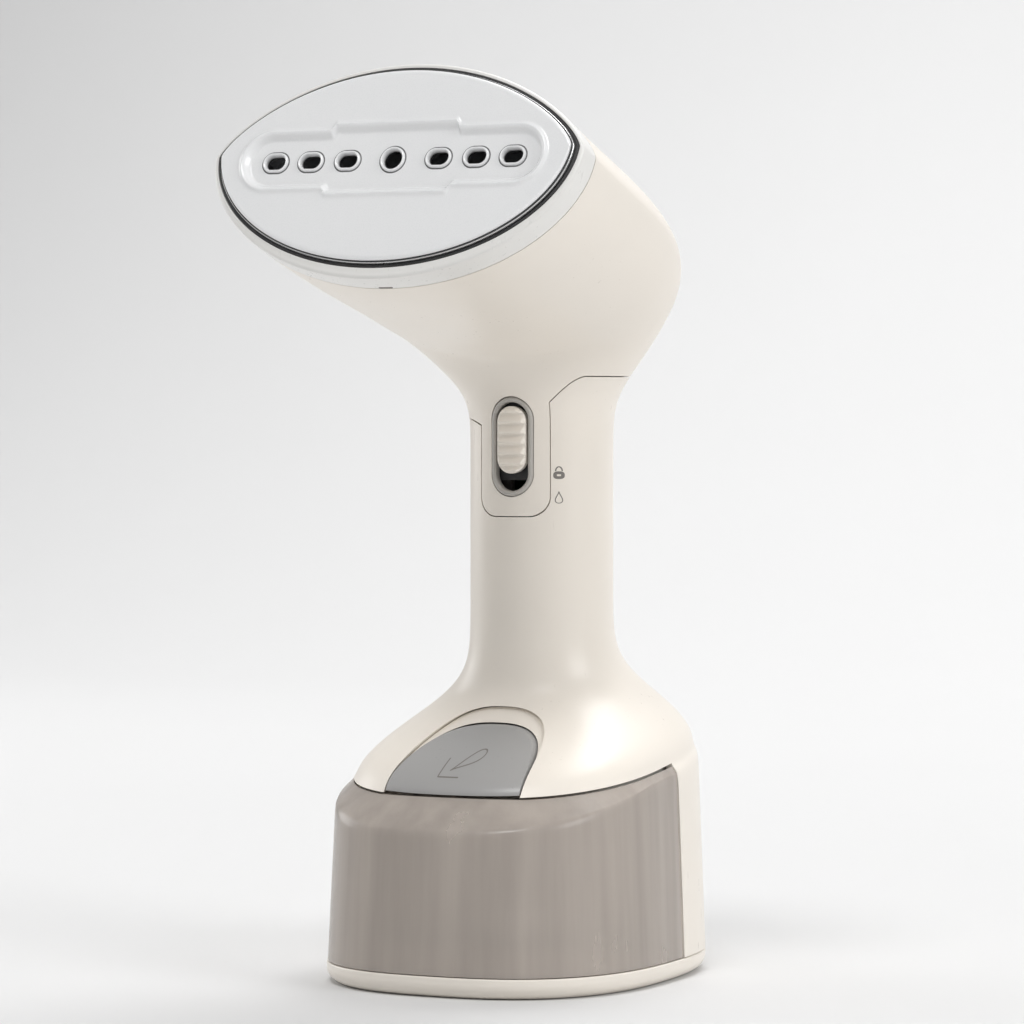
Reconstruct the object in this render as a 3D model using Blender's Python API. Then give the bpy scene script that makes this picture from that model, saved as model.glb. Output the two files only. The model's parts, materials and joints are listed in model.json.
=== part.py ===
"""Handheld garment steamer standing on its base. Metres, +Z up, the steam plate faces -Y.

The origin is the middle of the footprint, on the surface that the base stands on. The tank fills
the front of the base, the handle rises over the rear of it, and the head leans forward over it.
Outer skins are grids of rings: a ring is a closed row of points round the body at one station.
"""

import math

import bmesh
import bpy
import numpy as np

MM = 0.001

# Fits
GAP = 0.3 * MM                    # between fixed neighbours
SLIDE_GAP = 0.5 * MM              # round a piece that moves
HOSE_GAP = 1.2 * MM               # between a hose's end and its fitting
FUSE = 0.5 * MM                   # how far a boss or post sinks into the piece it grows from
WALL = 2.2 * MM                   # moulded skins
INNER_WALL = 2.0 * MM             # wall and deck of the tank's bay
TANK_WALL = 2.0 * MM
TRAY_FLOOR = 3.4 * MM

# Base and tank
BASE_HALF_WIDTH = 50.8 * MM
BASE_HALF_LENGTH = 61.5 * MM
BASE_SQUARENESS = 2.6
RIM_HEIGHT = 6.2 * MM             # tray rim under the tank
RIM_ROUND = 5.0 * MM              # how far the lower edge of the tray draws in
WALL_LEAN = 2.1 * MM              # the tank wall leans in by this much on its way up
TOP_HEIGHT = 56.6 * MM            # front of the tank's top
BEVEL_DROP = 10.1 * MM            # height of the tank's bevel at the front, and the least behind
BEVEL_LEAST = 3.0 * MM
EDGE_SLOPE = 0.24                 # rise of the bevel's lower edge towards the back
TOP_SLOPE = 0.13                  # rise of the housing's lower edge towards the back
BEVEL_FRONT = 11.5 * MM           # width of the tank's bevel at the front, side and back
BEVEL_SIDE = 2.6 * MM
BEVEL_BACK = 0.8 * MM
TANK_BACK = 8.0 * MM              # plane of the bay behind the tank
TANK_RECESS = 0.3 * MM            # tank skin behind the skin of the spine
TANK_FLOOR = 2.0 * MM

# Handle
HANDLE_Y = 16.5 * MM              # axis of the handle
HANDLE_HALF_WIDTH = 21.6 * MM
HANDLE_HALF_DEPTH = 21.6 * MM
FLARE_TOP = 110 * MM              # height where the flare has become the handle
NECK_HEIGHT = 171.8 * MM          # height where the head starts

# Head
PLATE_TILT = math.radians(21.1)   # the plate leans back from upright
PLATE_Y = -83.3 * MM              # middle of the steam holes
PLATE_Z = 238.7 * MM
TIP_RISE = 2.6 * MM               # the plate's pointed tips lie above the row of holes
RIM_HALF_WIDTH = 58.1 * MM
RIM_UP = 27.6 * MM
RIM_DOWN = 38.2 * MM
RIM_BACK = 3.0 * MM               # rim of the head behind the face of the plate
UPPER_POINT = 1.5                 # 1 is an ellipse, 2 comes to sharper tips
LOWER_POINT = 1.08
HEAD_REACH = 62.7 * MM            # how far the head keeps the direction of the plate
NECK_REACH = 45.5 * MM            # how far it keeps the direction of the handle
BEZEL_DEPTH = 7.5 * MM
BEZEL_LIP = 0.8 * MM              # front of the bezel ahead of the head's rim
PLATE_MARGIN = 1.9 * MM           # opening of the bezel round the plate

# Steam plate
PLATE_HALF_WIDTH = 54.8 * MM
PLATE_UP = 24.6 * MM
PLATE_DOWN = 33.6 * MM
PLATE_THICK = 3.2 * MM
PLATE_BEVEL = 0.8 * MM
CHANNEL_HALF_LENGTH = 46.0 * MM
CHANNEL_HALF_HEIGHT = 7.4 * MM
CHANNEL_DEPTH = 0.9 * MM
CHANNEL_SLOPE = 1.6 * MM
BLOCK_HALF_LENGTH = 18.8 * MM
BLOCK_EXTRA = 1.9 * MM            # the middle of the channel is this much higher
HOLE_STEPS = (14.3 * MM, 26.0 * MM, 37.3 * MM)
HOLE_LENGTH = 5.9 * MM
HOLE_HEIGHT = 3.8 * MM
MIDDLE_HOLE = 5.2 * MM
SEAL_WIDTH = 1.3 * MM

# Steam chamber and what is fixed to its back
CHAMBER_DEPTH = 11 * MM
CHAMBER_INSET = 6.5 * MM          # chamber outline inside the plate outline
CHAMBER_RIM = 3 * MM
CHAMBER_BACK = 4.5 * MM
GASKET_THICK = 1.0 * MM
ELEMENT_RADIUS = 3 * MM
ELEMENT_REACH = 28 * MM
ELEMENT_RISE = 8 * MM
ELEMENT_UP = 3 * MM
THERMOSTAT_RADIUS = 4.2 * MM
THERMOSTAT_DEPTH = 6 * MM
INLET_UP = -15 * MM               # water inlet below the row of holes
INLET_BORE = 1.2 * MM
FUSE_X = 21 * MM
FUSE_RADIUS = 2 * MM
FUSE_LENGTH = 11 * MM
CLIP_SCREW_REACH = 8 * MM
CLIP_HALF_LENGTH = 11.5 * MM
CLIP_HALF_WIDTH = 3 * MM
CLIP_THICK = 0.8 * MM

# Seam between head and handle, and the tongue of the head down the handle's front
TONGUE_HALF_WIDTH = 11.2 * MM
TONGUE_BOTTOM = 136.8 * MM
TONGUE_ROUND = 6 * MM
SEAM_FRONT = 167.4 * MM           # seam beside the tongue
SEAM_SIDE = 172.0 * MM            # seam at the sides and back
SEAM_TILT = 0.3                   # the seam rises towards +X

# Slide switch
SWITCH_Z = 157.5 * MM
SWITCH_WIDTH = 13.6 * MM
SWITCH_HEIGHT = 29.6 * MM
SWITCH_RIM = 1.6 * MM
SWITCH_PROUD = 0.5 * MM
KNOB_HEIGHT = 20 * MM
KNOB_PROUD = 1.6 * MM
KNOB_DEPTH = 3.4 * MM             # back of the knob behind the handle's front line
KNOB_TRAVEL = 4.0 * MM
KNOB_RIBS = 5
KNOB_GROOVE = 1.0 * MM
CARRIER_THICK = 1.6 * MM
CARRIER_HEIGHT = 24 * MM
SWITCH_BODY = (12 * MM, 6.5 * MM, 20 * MM)
SWITCH_LEG = (0.8 * MM, 4 * MM, 1.6 * MM)
SWITCH_LEG_PITCH = 7 * MM

# Release button
BUTTON_HALF_WIDTH = 21.5 * MM
BUTTON_TOP = 75.5 * MM
BUTTON_SKIN = 2.4 * MM
BUTTON_TRAVEL = 2.5 * MM
BUTTON_SQUARENESS = 2.5
SCOOP_RISE = 4.5 * MM             # the finger scoop reaches this far above the button
SCOOP_DEPTH = 1.0 * MM
SCOOP_SKIN = 2.0 * MM
SPRING_RISE = 9.9 * MM            # spring's axis above the front of the tank's top
SPRING_RADIUS = 2.6 * MM
SPRING_WIRE = 0.45 * MM
SPRING_TURNS = 4
SPRING_LENGTH = 9 * MM
LATCH_BACK = 28.5 * MM            # latch behind the front of the base
LATCH_LENGTH = 4 * MM
LATCH_HALF = 3 * MM
SEAT_HALF = 3.6 * MM              # seat and post at the ends of the spring

# Filler of the tank, on its left side
FILLER_Y = -6 * MM
FILLER_Z = 34 * MM
FILLER_NECK = 6.5 * MM
FLAP_RADIUS = 9 * MM
FLAP_THICK = 1.6 * MM
FLAP_DROP = 1.6 * MM              # hinge axis below the flap's edge
FLAP_TAB = 8 * MM
PLUG_FIT = 0.8 * MM
PLUG_DEPTH = 2.1 * MM
COLLAR_RIM = 1.4 * MM
COLLAR_DEPTH = 3.6 * MM

# Water path
SPIGOT_Z = 17 * MM
SPIGOT_RADIUS = 4 * MM
SPIGOT_REACH = 4 * MM             # spigot ahead of the bay's plane
SPIGOT_BORE = 1.4 * MM
SPIGOT_FLANGE = 6 * MM
OUTLET_RADIUS = 7 * MM
OUTLET_LENGTH = 4.5 * MM
OUTLET_WALL = 1.5 * MM
FILTER_LENGTH = 10 * MM
PUMP_RADIUS = 11 * MM
PUMP_HEIGHT = 34 * MM
PUMP_Z = 84 * MM
PUMP_STUB = 5 * MM
SLEEVE_HEIGHT = 12 * MM
SLEEVE_THICK = 1.9 * MM
HOSE_RADIUS = 2.6 * MM
HOSE_BORE = 1.5 * MM

# Electric pieces
CORD_BORE = 5.4 * MM
CORD_Z = 20 * MM
GLAND_RADIUS = 4.5 * MM
GLAND_FLANGE = 6.5 * MM
GLAND_LENGTH = 9.8 * MM
GLAND_PROUD = 3.6 * MM
CLAMP_BACK = 15.5 * MM            # clamp ahead of the back of the base
CLAMP_REACH = 8.5 * MM            # its screws to either side of the cord
CLAMP_FOOT = 16.5 * MM
CLAMP_HEAD = 25 * MM
CLAMP_DEPTH = 7 * MM
POST_RADIUS = 3 * MM
TERMINALS = 3
TERMINAL_PITCH = 7 * MM
TERMINAL_SIZE = 10 * MM           # depth and height of the block
TERMINAL_WELL = 2 * MM
TERMINAL_SIDE = 35.8 * MM         # block inside the widest line of the base
TERMINAL_BACK = 16 * MM           # block behind the bay's plane
BOARD_WIDTH = 28 * MM
BOARD_HEIGHT = 54 * MM
BOARD_THICK = 1.6 * MM
BOARD_RISE = 8 * MM               # board above the foot of the handle
BOARD_BACK = 5.5 * MM             # board behind the handle's axis
RELAY = (11 * MM, 9 * MM, 16 * MM)
DRIVER = (9 * MM, 3 * MM, 8 * MM)

# Feet and screws
PAD_LENGTH = 16 * MM
PAD_WIDTH = 7 * MM
PAD_THICK = 1.4 * MM
PAD_SIDE = 23.8 * MM              # pad middles inside the sides and ends of the base
PAD_END = 24.5 * MM
SCREW_HEAD = 2.8 * MM
SCREW_RISE = 1.8 * MM
SCREW_SHANK = 1.45 * MM
SCREW_SEAT = 2.3 * MM             # underside of the screw heads in the tray
TRAY_SCREW = 9 * MM
CLAMP_SCREW = 16 * MM
CLIP_SCREW = 4 * MM
BOSS_RADIUS = 4 * MM
BOSS_TOP = 14 * MM
BAY_BOSS_SIDE = 20.8 * MM         # bosses inside the widest line of the base
SPINE_BOSS_SIDE = 28.8 * MM

AROUND = 36                       # points in a ring of the big skins
NOTCH = 1.0 * MM                  # how far a cutter runs past the face it opens
REACH = 20 * MM                   # a cutter's length where it only has to pass through
TAU = 2 * math.pi

# Places that follow from the sizes above
SEAM = RIM_HEIGHT + GAP           # lower edge of the tank and the housing
BASE_FRONT = -BASE_HALF_LENGTH
BASE_BACK = BASE_HALF_LENGTH
EDGE_HEIGHT = TOP_HEIGHT - BEVEL_DROP
TOP_FRONT = BASE_FRONT + WALL_LEAN + BEVEL_FRONT
WALL_FRONT = TANK_BACK + GAP      # the wall behind the tank
WALL_BACK = WALL_FRONT + INNER_WALL
TANK_FACE = TANK_BACK - GAP       # flat back of the tank
FACE_Y = HANDLE_Y - HANDLE_HALF_DEPTH
SPRING_Z = TOP_HEIGHT + SPRING_RISE
LATCH_Y = BASE_FRONT + LATCH_BACK
SPRING_START = LATCH_Y + 11 * MM
SPRING_END = SPRING_START + SPRING_LENGTH
KNOB_Z = SWITCH_Z + KNOB_TRAVEL / 2
KNOB_WIDTH = SWITCH_WIDTH - 2 * SWITCH_RIM - 2 * SLIDE_GAP
CHAMBER_OUT = -PLATE_THICK - GASKET_THICK - 2 * GAP - CHAMBER_DEPTH
ELEMENT_OUT = CHAMBER_OUT - GAP - ELEMENT_RADIUS
COLLAR_FACE = -BASE_HALF_WIDTH + 0.2 * MM
FLAP_HINGE = (COLLAR_FACE - GAP - FLAP_THICK / 2, FILLER_Y, FILLER_Z - FLAP_RADIUS - FLAP_DROP)
CLAMP_Y = BASE_BACK - CLAMP_BACK
PAD_PLACES = [(side * (BASE_HALF_WIDTH - PAD_SIDE), end * (BASE_HALF_LENGTH - PAD_END))
              for side in (-1, 1) for end in (-1, 1)]
BACKWARD = np.array((0, math.cos(PLATE_TILT), -math.sin(PLATE_TILT)))   # into the head
FORWARD = -BACKWARD

CREAM = (0.87, 0.82, 0.75)
GREY = (0.42, 0.41, 0.40)
FINISHES = {
    "cream_plastic": (CREAM, 0.4, 0.0),
    "bezel_plastic": ((0.80, 0.80, 0.79), 0.35, 0.0),
    "grey_plastic": (GREY, 0.4, 0.0),
    "smoke_plastic": ((0.38, 0.34, 0.31), 0.2, 0.0),
    "plate_glaze": ((0.80, 0.80, 0.82), 0.15, 0.2),
    "cast_aluminium": ((0.60, 0.61, 0.62), 0.45, 1.0),
    "steel": ((0.65, 0.65, 0.66), 0.3, 1.0),
    "rubber": ((0.10, 0.10, 0.10), 0.7, 0.0),
    "silicone": ((0.75, 0.74, 0.72), 0.5, 0.0),
    "inner_plastic": ((0.75, 0.74, 0.70), 0.5, 0.0),
    "black_plastic": ((0.03, 0.03, 0.03), 0.5, 0.0),
    "board": ((0.05, 0.25, 0.12), 0.5, 0.0),
}


# ---------------------------------------------------------------- building blocks

def material(finish):
    """The named finish, made once."""
    known = bpy.data.materials.get(finish)
    if known:
        return known
    colour, roughness, metallic = FINISHES[finish]
    made = bpy.data.materials.new(finish)
    made.use_nodes = True
    shader = made.node_tree.nodes["Principled BSDF"]
    shader.inputs["Base Color"].default_value = (*colour, 1)
    shader.inputs["Roughness"].default_value = roughness
    shader.inputs["Metallic"].default_value = metallic
    made.diffuse_color = (*colour, 1)
    return made


def add_object(name, points, faces, finish, origin=(0, 0, 0)):
    """An object whose own origin is at the given place; with no finish it is a cutter."""
    mesh = bpy.data.meshes.new(name)
    places = np.asarray(points, float) - np.asarray(origin)
    mesh.from_pydata([tuple(place) for place in places], [], faces)
    outward = bmesh.new()
    outward.from_mesh(mesh)
    bmesh.ops.recalc_face_normals(outward, faces=outward.faces)
    outward.to_mesh(mesh)
    outward.free()
    made = bpy.data.objects.new(name, mesh)
    made.location = origin
    bpy.context.scene.collection.objects.link(made)
    if finish:
        mesh.materials.append(material(finish))
        mesh.shade_smooth()
        mesh.set_sharp_from_angle(angle=math.radians(35))
    else:
        made.hide_render = True
        made.display_type = "WIRE"
    return made


def ring_faces(rings, around):
    """Quads that join each ring to the next."""
    faces = []
    for ring in range(rings - 1):
        for step in range(around):
            low = ring * around
            after = (step + 1) % around
            faces.append((low + step, low + after, low + around + after, low + around + step))
    return faces


def solid(name, grid, finish=None, origin=(0, 0, 0)):
    """A closed solid from a stack of rings, with a flat cap at each end."""
    rings, around = grid.shape[:2]
    faces = ring_faces(rings, around)
    faces.append(tuple(range(around)))
    faces.append(tuple(range((rings - 1) * around, rings * around)))
    return add_object(name, grid.reshape(-1, 3), faces, finish, origin)


def skin(name, outer, inner, finish):
    """A closed wall between an outer and an inner stack of rings, open at both ends."""
    loop = np.concatenate([outer, inner[::-1]])
    rings, around = loop.shape[:2]
    faces = ring_faces(rings, around)
    last = (rings - 1) * around
    faces += [(last + step, last + (step + 1) % around, (step + 1) % around, step)
              for step in range(around)]
    return add_object(name, loop.reshape(-1, 3), faces, finish)


def cup(name, outer, inner, finish):
    """A closed wall with a floor at the first ring and its mouth at the last ring."""
    return solid(name, np.concatenate([outer, inner[::-1]]), finish)


def offset(grid, distance):
    """The same stack of rings moved along its outward normals."""
    along = np.gradient(grid, axis=0)
    closed = np.concatenate([grid[:, -1:], grid, grid[:, :1]], axis=1)
    across = (closed[:, 2:] - closed[:, :-2]) / 2
    normal = np.cross(across, along)
    normal /= np.linalg.norm(normal, axis=2, keepdims=True)
    return grid + distance * normal


def prism(name, outline, low, high, axis, finish=None, origin=(0, 0, 0)):
    """A straight extrusion of a flat outline along X, Y or Z."""
    outline = np.asarray(outline, float)
    layers = []
    for level in (low, high):
        column = np.full((len(outline), 1), level)
        order = {"X": (column, outline), "Y": (outline[:, :1], column, outline[:, 1:]),
                 "Z": (outline, column)}[axis]
        layers.append(np.hstack(order))
    return solid(name, np.array(layers), finish, origin)


def box(name, low, high, finish=None, origin=(0, 0, 0)):
    """A block between two corners."""
    outline = [(low[0], low[1]), (high[0], low[1]), (high[0], high[1]), (low[0], high[1])]
    return prism(name, outline, low[2], high[2], "Z", finish, origin)


def modify(target, operation, *tools):
    """Cut, join or keep the common part of a body and its tools."""
    for tool in tools:
        change = target.modifiers.new(tool.name, "BOOLEAN")
        change.operation = operation
        change.solver = "EXACT"
        change.object = tool
    return target


def turned_rings(profile, centre, axis, around):
    """Rings of a turned form, one for each (along, radius) pair."""
    axis = np.asarray(axis, float)
    side = np.array((1.0, 0.0, 0.0)) if abs(axis[0]) < 0.5 else np.array((0.0, 1.0, 0.0))
    side -= axis * side.dot(axis)
    side /= np.linalg.norm(side)
    other = np.cross(axis, side)
    angle = np.linspace(0, TAU, around, endpoint=False)[:, None]
    circle = np.cos(angle) * side + np.sin(angle) * other
    return np.array([np.asarray(centre) + along * axis + radius * circle for along, radius in profile])


def turned(name, profile, centre, axis, finish=None, around=20):
    """A body turned about a line, closed at both ends."""
    return solid(name, turned_rings(profile, centre, axis, around), finish, centre)


def rod(name, radius, length, centre, axis, around=12):
    """A plain round cutter or boss that starts at the centre and runs along the axis."""
    return turned(name, [(0, radius), (length, radius)], centre, axis, None, around)


def bush(name, profile, bore, centre, axis, finish, around=20):
    """A turned sleeve with a bore of one radius right through."""
    outer = turned_rings(profile, centre, axis, around)
    inner = turned_rings([(profile[0][0], bore), (profile[-1][0], bore)], centre, axis, around)
    return skin(name, outer, inner, finish)


def smooth_path(points, steps):
    """Points along a smooth curve through the given ones."""
    points = np.asarray(points, float)
    ends = np.vstack([2 * points[0] - points[1], points, 2 * points[-1] - points[-2]])
    part = np.linspace(0, 1, steps, endpoint=False)[:, None]
    path = []
    for a, b, c, d in zip(ends, ends[1:], ends[2:], ends[3:]):
        curve = 2 * b + (c - a) * part + (2 * a - 5 * b + 4 * c - d) * part**2
        path.append((curve + (3 * b - 3 * c + d - a) * part**3) / 2)
    return np.vstack([*path, points[-1:]])


def tube_rings(path, radius, around):
    """Circles along a path, each square to it and turned as little as possible."""
    along = np.gradient(path, axis=0)
    along /= np.linalg.norm(along, axis=1, keepdims=True)
    side = np.cross(along[0], (0.3, 0.9, 0.2))
    angle = np.linspace(0, TAU, around, endpoint=False)[:, None]
    rings = []
    for place, direction in zip(path, along):
        side = side - direction * side.dot(direction)
        side /= np.linalg.norm(side)
        other = np.cross(direction, side)
        rings.append(place + radius * (np.cos(angle) * side + np.sin(angle) * other))
    return np.array(rings)


def hose(name, points, around=8):
    """A flexible tube with an open bore, straight for a short way at each end."""
    path = smooth_path(points, 2)
    skin(name, tube_rings(path, HOSE_RADIUS, around), tube_rings(path, HOSE_BORE, around), "silicone")


def obround(width, height, centre=(0, 0), arc=7):
    """A slot outline with round ends, upright or lying."""
    radius = min(width, height) / 2
    reach = max(width, height) / 2 - radius
    half = np.linspace(0, math.pi, arc + 1)
    top = np.column_stack([radius * np.cos(half), reach + radius * np.sin(half)])
    outline = np.vstack([top, -top])
    if height < width:
        outline = outline[:, ::-1] * (1, -1)
    return outline + np.asarray(centre)


def screw(name, place, axis, length):
    """A pan-head screw whose head sits at the place and whose shank runs along the axis."""
    profile = [(-SCREW_RISE, SCREW_HEAD * 0.7), (-SCREW_RISE * 0.6, SCREW_HEAD), (0, SCREW_HEAD),
               (0, SCREW_SHANK), (length, SCREW_SHANK)]
    turned(name, profile, place, axis, "steel", 10)


# ---------------------------------------------------------------- outer forms

def oval(half_width, front, back, squareness, around=AROUND):
    """A rounded, squarish ring: |x|^n + |y|^n is constant."""
    angle = np.linspace(0, TAU, around, endpoint=False)
    across, ahead = np.cos(angle), np.sin(angle)
    x = half_width * np.sign(across) * np.abs(across) ** (2 / squareness)
    reach = np.sign(ahead) * np.abs(ahead) ** (2 / squareness)
    return np.column_stack([x, (front + back) / 2 + (back - front) / 2 * reach])


def level_ring(inset, height):
    """A level ring of the base, drawn in by the inset."""
    flat = oval(BASE_HALF_WIDTH - inset, BASE_FRONT + inset, BASE_BACK - inset, BASE_SQUARENESS)
    return np.column_stack([flat, np.full(AROUND, height)])


def wall_ring(inset, part):
    """A ring of the base's wall: 0 is its foot, 1 the bevel's lower edge, which rises backwards."""
    ring = level_ring(inset + WALL_LEAN * part, SEAM)
    rising = EDGE_HEIGHT + EDGE_SLOPE * (ring[:, 1] - BASE_FRONT)
    edge = np.minimum(rising, top_plane(ring[:, 1]) - BEVEL_LEAST)
    ring[:, 2] += (edge - SEAM) * part
    return ring


def wall_back(x):
    """Depth of the base's outer line behind the middle, at a distance to the side."""
    share = 1 - (abs(x) / BASE_HALF_WIDTH) ** BASE_SQUARENESS
    return BASE_BACK * share ** (1 / BASE_SQUARENESS)


def flare_ring(part):
    """A ring of the flare: 0 is the top of the tank, 1 is the foot of the handle."""
    ease = (1 + math.cos(math.pi * part)) / 2
    width = BASE_HALF_WIDTH - WALL_LEAN - BEVEL_SIDE
    back = BASE_BACK - WALL_LEAN - BEVEL_BACK
    handle_back = HANDLE_Y + HANDLE_HALF_DEPTH
    flat = oval(HANDLE_HALF_WIDTH + (width - HANDLE_HALF_WIDTH) * ease**2.4,
                FACE_Y + (TOP_FRONT - FACE_Y) * ease**5.2,
                handle_back + (back - handle_back) * ease**1.4,
                2 + (BASE_SQUARENESS - 2) * ease)
    height = TOP_HEIGHT + (FLARE_TOP - TOP_HEIGHT) * part
    return np.column_stack([flat, height + TOP_SLOPE * (1 - part) * (flat[:, 1] - TOP_FRONT)])


def handle_ring(height):
    """A ring of the straight handle."""
    flat = oval(HANDLE_HALF_WIDTH, FACE_Y, HANDLE_Y + HANDLE_HALF_DEPTH, 2)
    return np.column_stack([flat, np.full(AROUND, height)])


def body_grid(end, flare_steps=10):
    """Rings from the foot of the housing up the leaning wall, the flare and the handle."""
    rings = [wall_ring(0, part) for part in (0, 0.5, 1)]
    rings += [flare_ring(part) for part in np.linspace(0, 1, flare_steps)]
    rings += [handle_ring(height) for height in np.linspace(FLARE_TOP, end, 3)[1:]]
    return np.array(rings)


def plate_point(across, up, out):
    """World place of a point given in the plate's own directions."""
    across, up, out = np.broadcast_arrays(across, up, out)
    y = PLATE_Y + up * math.sin(PLATE_TILT) - out * math.cos(PLATE_TILT)
    z = PLATE_Z + up * math.cos(PLATE_TILT) + out * math.sin(PLATE_TILT)
    return np.stack([across, y, z], axis=-1)


def bow(up, down, upper, lower, around):
    """Height of an eye-shaped outline: two bows that meet in pointed tips."""
    rise = np.sin(np.linspace(0, TAU, around, endpoint=False))
    return np.where(rise > 0, up * np.abs(rise) ** upper, -down * np.abs(rise) ** lower)


def eye_ring(inset, out, around=AROUND):
    """A ring round the steam plate, drawn in by the inset, at a distance out of its face."""
    angle = np.linspace(0, TAU, around, endpoint=False)
    tip_inset = inset * 1.25
    rise = bow(PLATE_UP - inset, PLATE_DOWN - inset, UPPER_POINT, LOWER_POINT, around)
    return plate_point((PLATE_HALF_WIDTH - tip_inset) * np.cos(angle), TIP_RISE + rise, out)


def head_spine(part):
    """A point of the line from the plate to the neck, and its direction there."""
    start = plate_point(0.0, TIP_RISE, -RIM_BACK)[1:]
    end = np.array((HANDLE_Y, NECK_HEIGHT))
    first = start + BACKWARD[1:] * HEAD_REACH
    second = end + np.array((0.0, NECK_REACH))
    rest = 1 - part
    place = rest**3 * start + 3 * rest**2 * part * first + 3 * rest * part**2 * second + part**3 * end
    speed = rest**2 * (first - start) + 2 * rest * part * (second - first) + part**2 * (end - second)
    return place, speed / np.linalg.norm(speed)


def head_ring(part, inset=0.0):
    """A ring of the head: 0 is the rim round the plate, 1 is the neck."""
    place, ahead = head_spine(part)
    up = np.array((-ahead[1], ahead[0]))
    width = HANDLE_HALF_WIDTH + (RIM_HALF_WIDTH - HANDLE_HALF_WIDTH) * (1 - part**3.75) - inset
    high = HANDLE_HALF_DEPTH + (RIM_UP - HANDLE_HALF_DEPTH) * (1 - part**1.15) - inset
    low = HANDLE_HALF_DEPTH + (RIM_DOWN - HANDLE_HALF_DEPTH) * (1 - part**1.15) - inset
    pointed = (1 - part) ** 1.5
    rise = bow(high, low, 1 + (UPPER_POINT - 1) * pointed, 1 + (LOWER_POINT - 1) * pointed, AROUND)
    angle = np.linspace(0, TAU, AROUND, endpoint=False)
    return np.column_stack([width * np.cos(angle), place + rise[:, None] * up])


def head_share(distance):
    """How far along the head's line a distance behind the rim lies."""
    return distance / (3 * HEAD_REACH)


def top_plane(y):
    """Height of the housing's sloping lower edge at a depth."""
    return TOP_HEIGHT + TOP_SLOPE * (y - TOP_FRONT)


def side_wedge(name, back, drop):
    """All that lies ahead of a plane and below the housing's lower edge, as seen from the side."""
    ahead = BASE_FRONT - NOTCH
    wide = BASE_HALF_WIDTH + NOTCH
    outline = [(ahead, -NOTCH), (back, -NOTCH), (back, top_plane(back) - drop),
               (ahead, top_plane(ahead) - drop)]
    return prism(name, outline, -wide, wide, "X")


def seam_outline(clearance, level):
    """Front view of the seam with its tongue, closed off at a level above or below it."""
    half = TONGUE_HALF_WIDTH + clearance
    bottom = TONGUE_BOTTOM - clearance
    quarter = np.linspace(0, math.pi / 2, 5)
    corner = np.column_stack([half - TONGUE_ROUND * (1 - np.cos(quarter)),
                              bottom + TONGUE_ROUND * (1 - np.sin(quarter))])
    part = np.linspace(1, 0, 5)
    rise = SEAM_FRONT + (SEAM_SIDE - SEAM_FRONT) * np.sin(part * math.pi / 2) - clearance
    shoulder = np.column_stack([half + (HANDLE_HALF_WIDTH - half) * part, rise])
    wide = RIM_HALF_WIDTH
    edge = [(wide, level), (wide, SEAM_SIDE - clearance)]
    right = np.vstack([edge, shoulder, corner])
    outline = np.vstack([right, right[::-1] * (-1, 1)])
    tilted = np.clip(outline[:, 0], -HANDLE_HALF_WIDTH, HANDLE_HALF_WIDTH) * SEAM_TILT
    on_seam = outline[:, 1] > SEAM_FRONT - 2 * clearance - NOTCH
    on_seam &= outline[:, 1] != level
    outline[:, 1] += np.where(on_seam, tilted, 0)
    return outline


def seam_cutters(name, clearance, level):
    """Cutters for the front and the back half of the seam, on the side of the given level."""
    wide = RIM_HALF_WIDTH
    side = SEAM_SIDE - clearance
    tilt = SEAM_TILT * HANDLE_HALF_WIDTH
    back = [(-wide, level), (wide, level), (wide, side + tilt), (HANDLE_HALF_WIDTH, side + tilt),
            (-HANDLE_HALF_WIDTH, side - tilt), (-wide, side - tilt)]
    return (prism(f"{name}_front", seam_outline(clearance, level), HANDLE_Y - wide, HANDLE_Y, "Y"),
            prism(f"{name}_back", back, HANDLE_Y - NOTCH, HANDLE_Y + wide, "Y"))


# ---------------------------------------------------------------- base

def tray_screw_places():
    """Where the tray's screws stand: two under the bay's wall, two under the spine."""
    bay_x = BASE_HALF_WIDTH - BAY_BOSS_SIDE
    bay_y = WALL_BACK + BOSS_RADIUS - FUSE
    spine_x = BASE_HALF_WIDTH - SPINE_BOSS_SIDE
    spine_y = wall_back(spine_x) - WALL - BOSS_RADIUS + FUSE
    bay = [(side * bay_x, bay_y) for side in (-1, 1)]
    spine = [(side * spine_x, spine_y) for side in (-1, 1)]
    return bay, spine


def boss_and_bore(name, place, foot):
    """A screw boss from the foot up, and the cutter for its blind bore."""
    boss = rod(f"{name}_boss", BOSS_RADIUS, BOSS_TOP - foot, (*place, foot), (0, 0, 1), 16)
    bore = rod(f"{name}_bore", SCREW_SHANK + GAP, BOSS_TOP - foot - MM, (*place, foot - NOTCH), (0, 0, 1))
    return boss, bore


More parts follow.
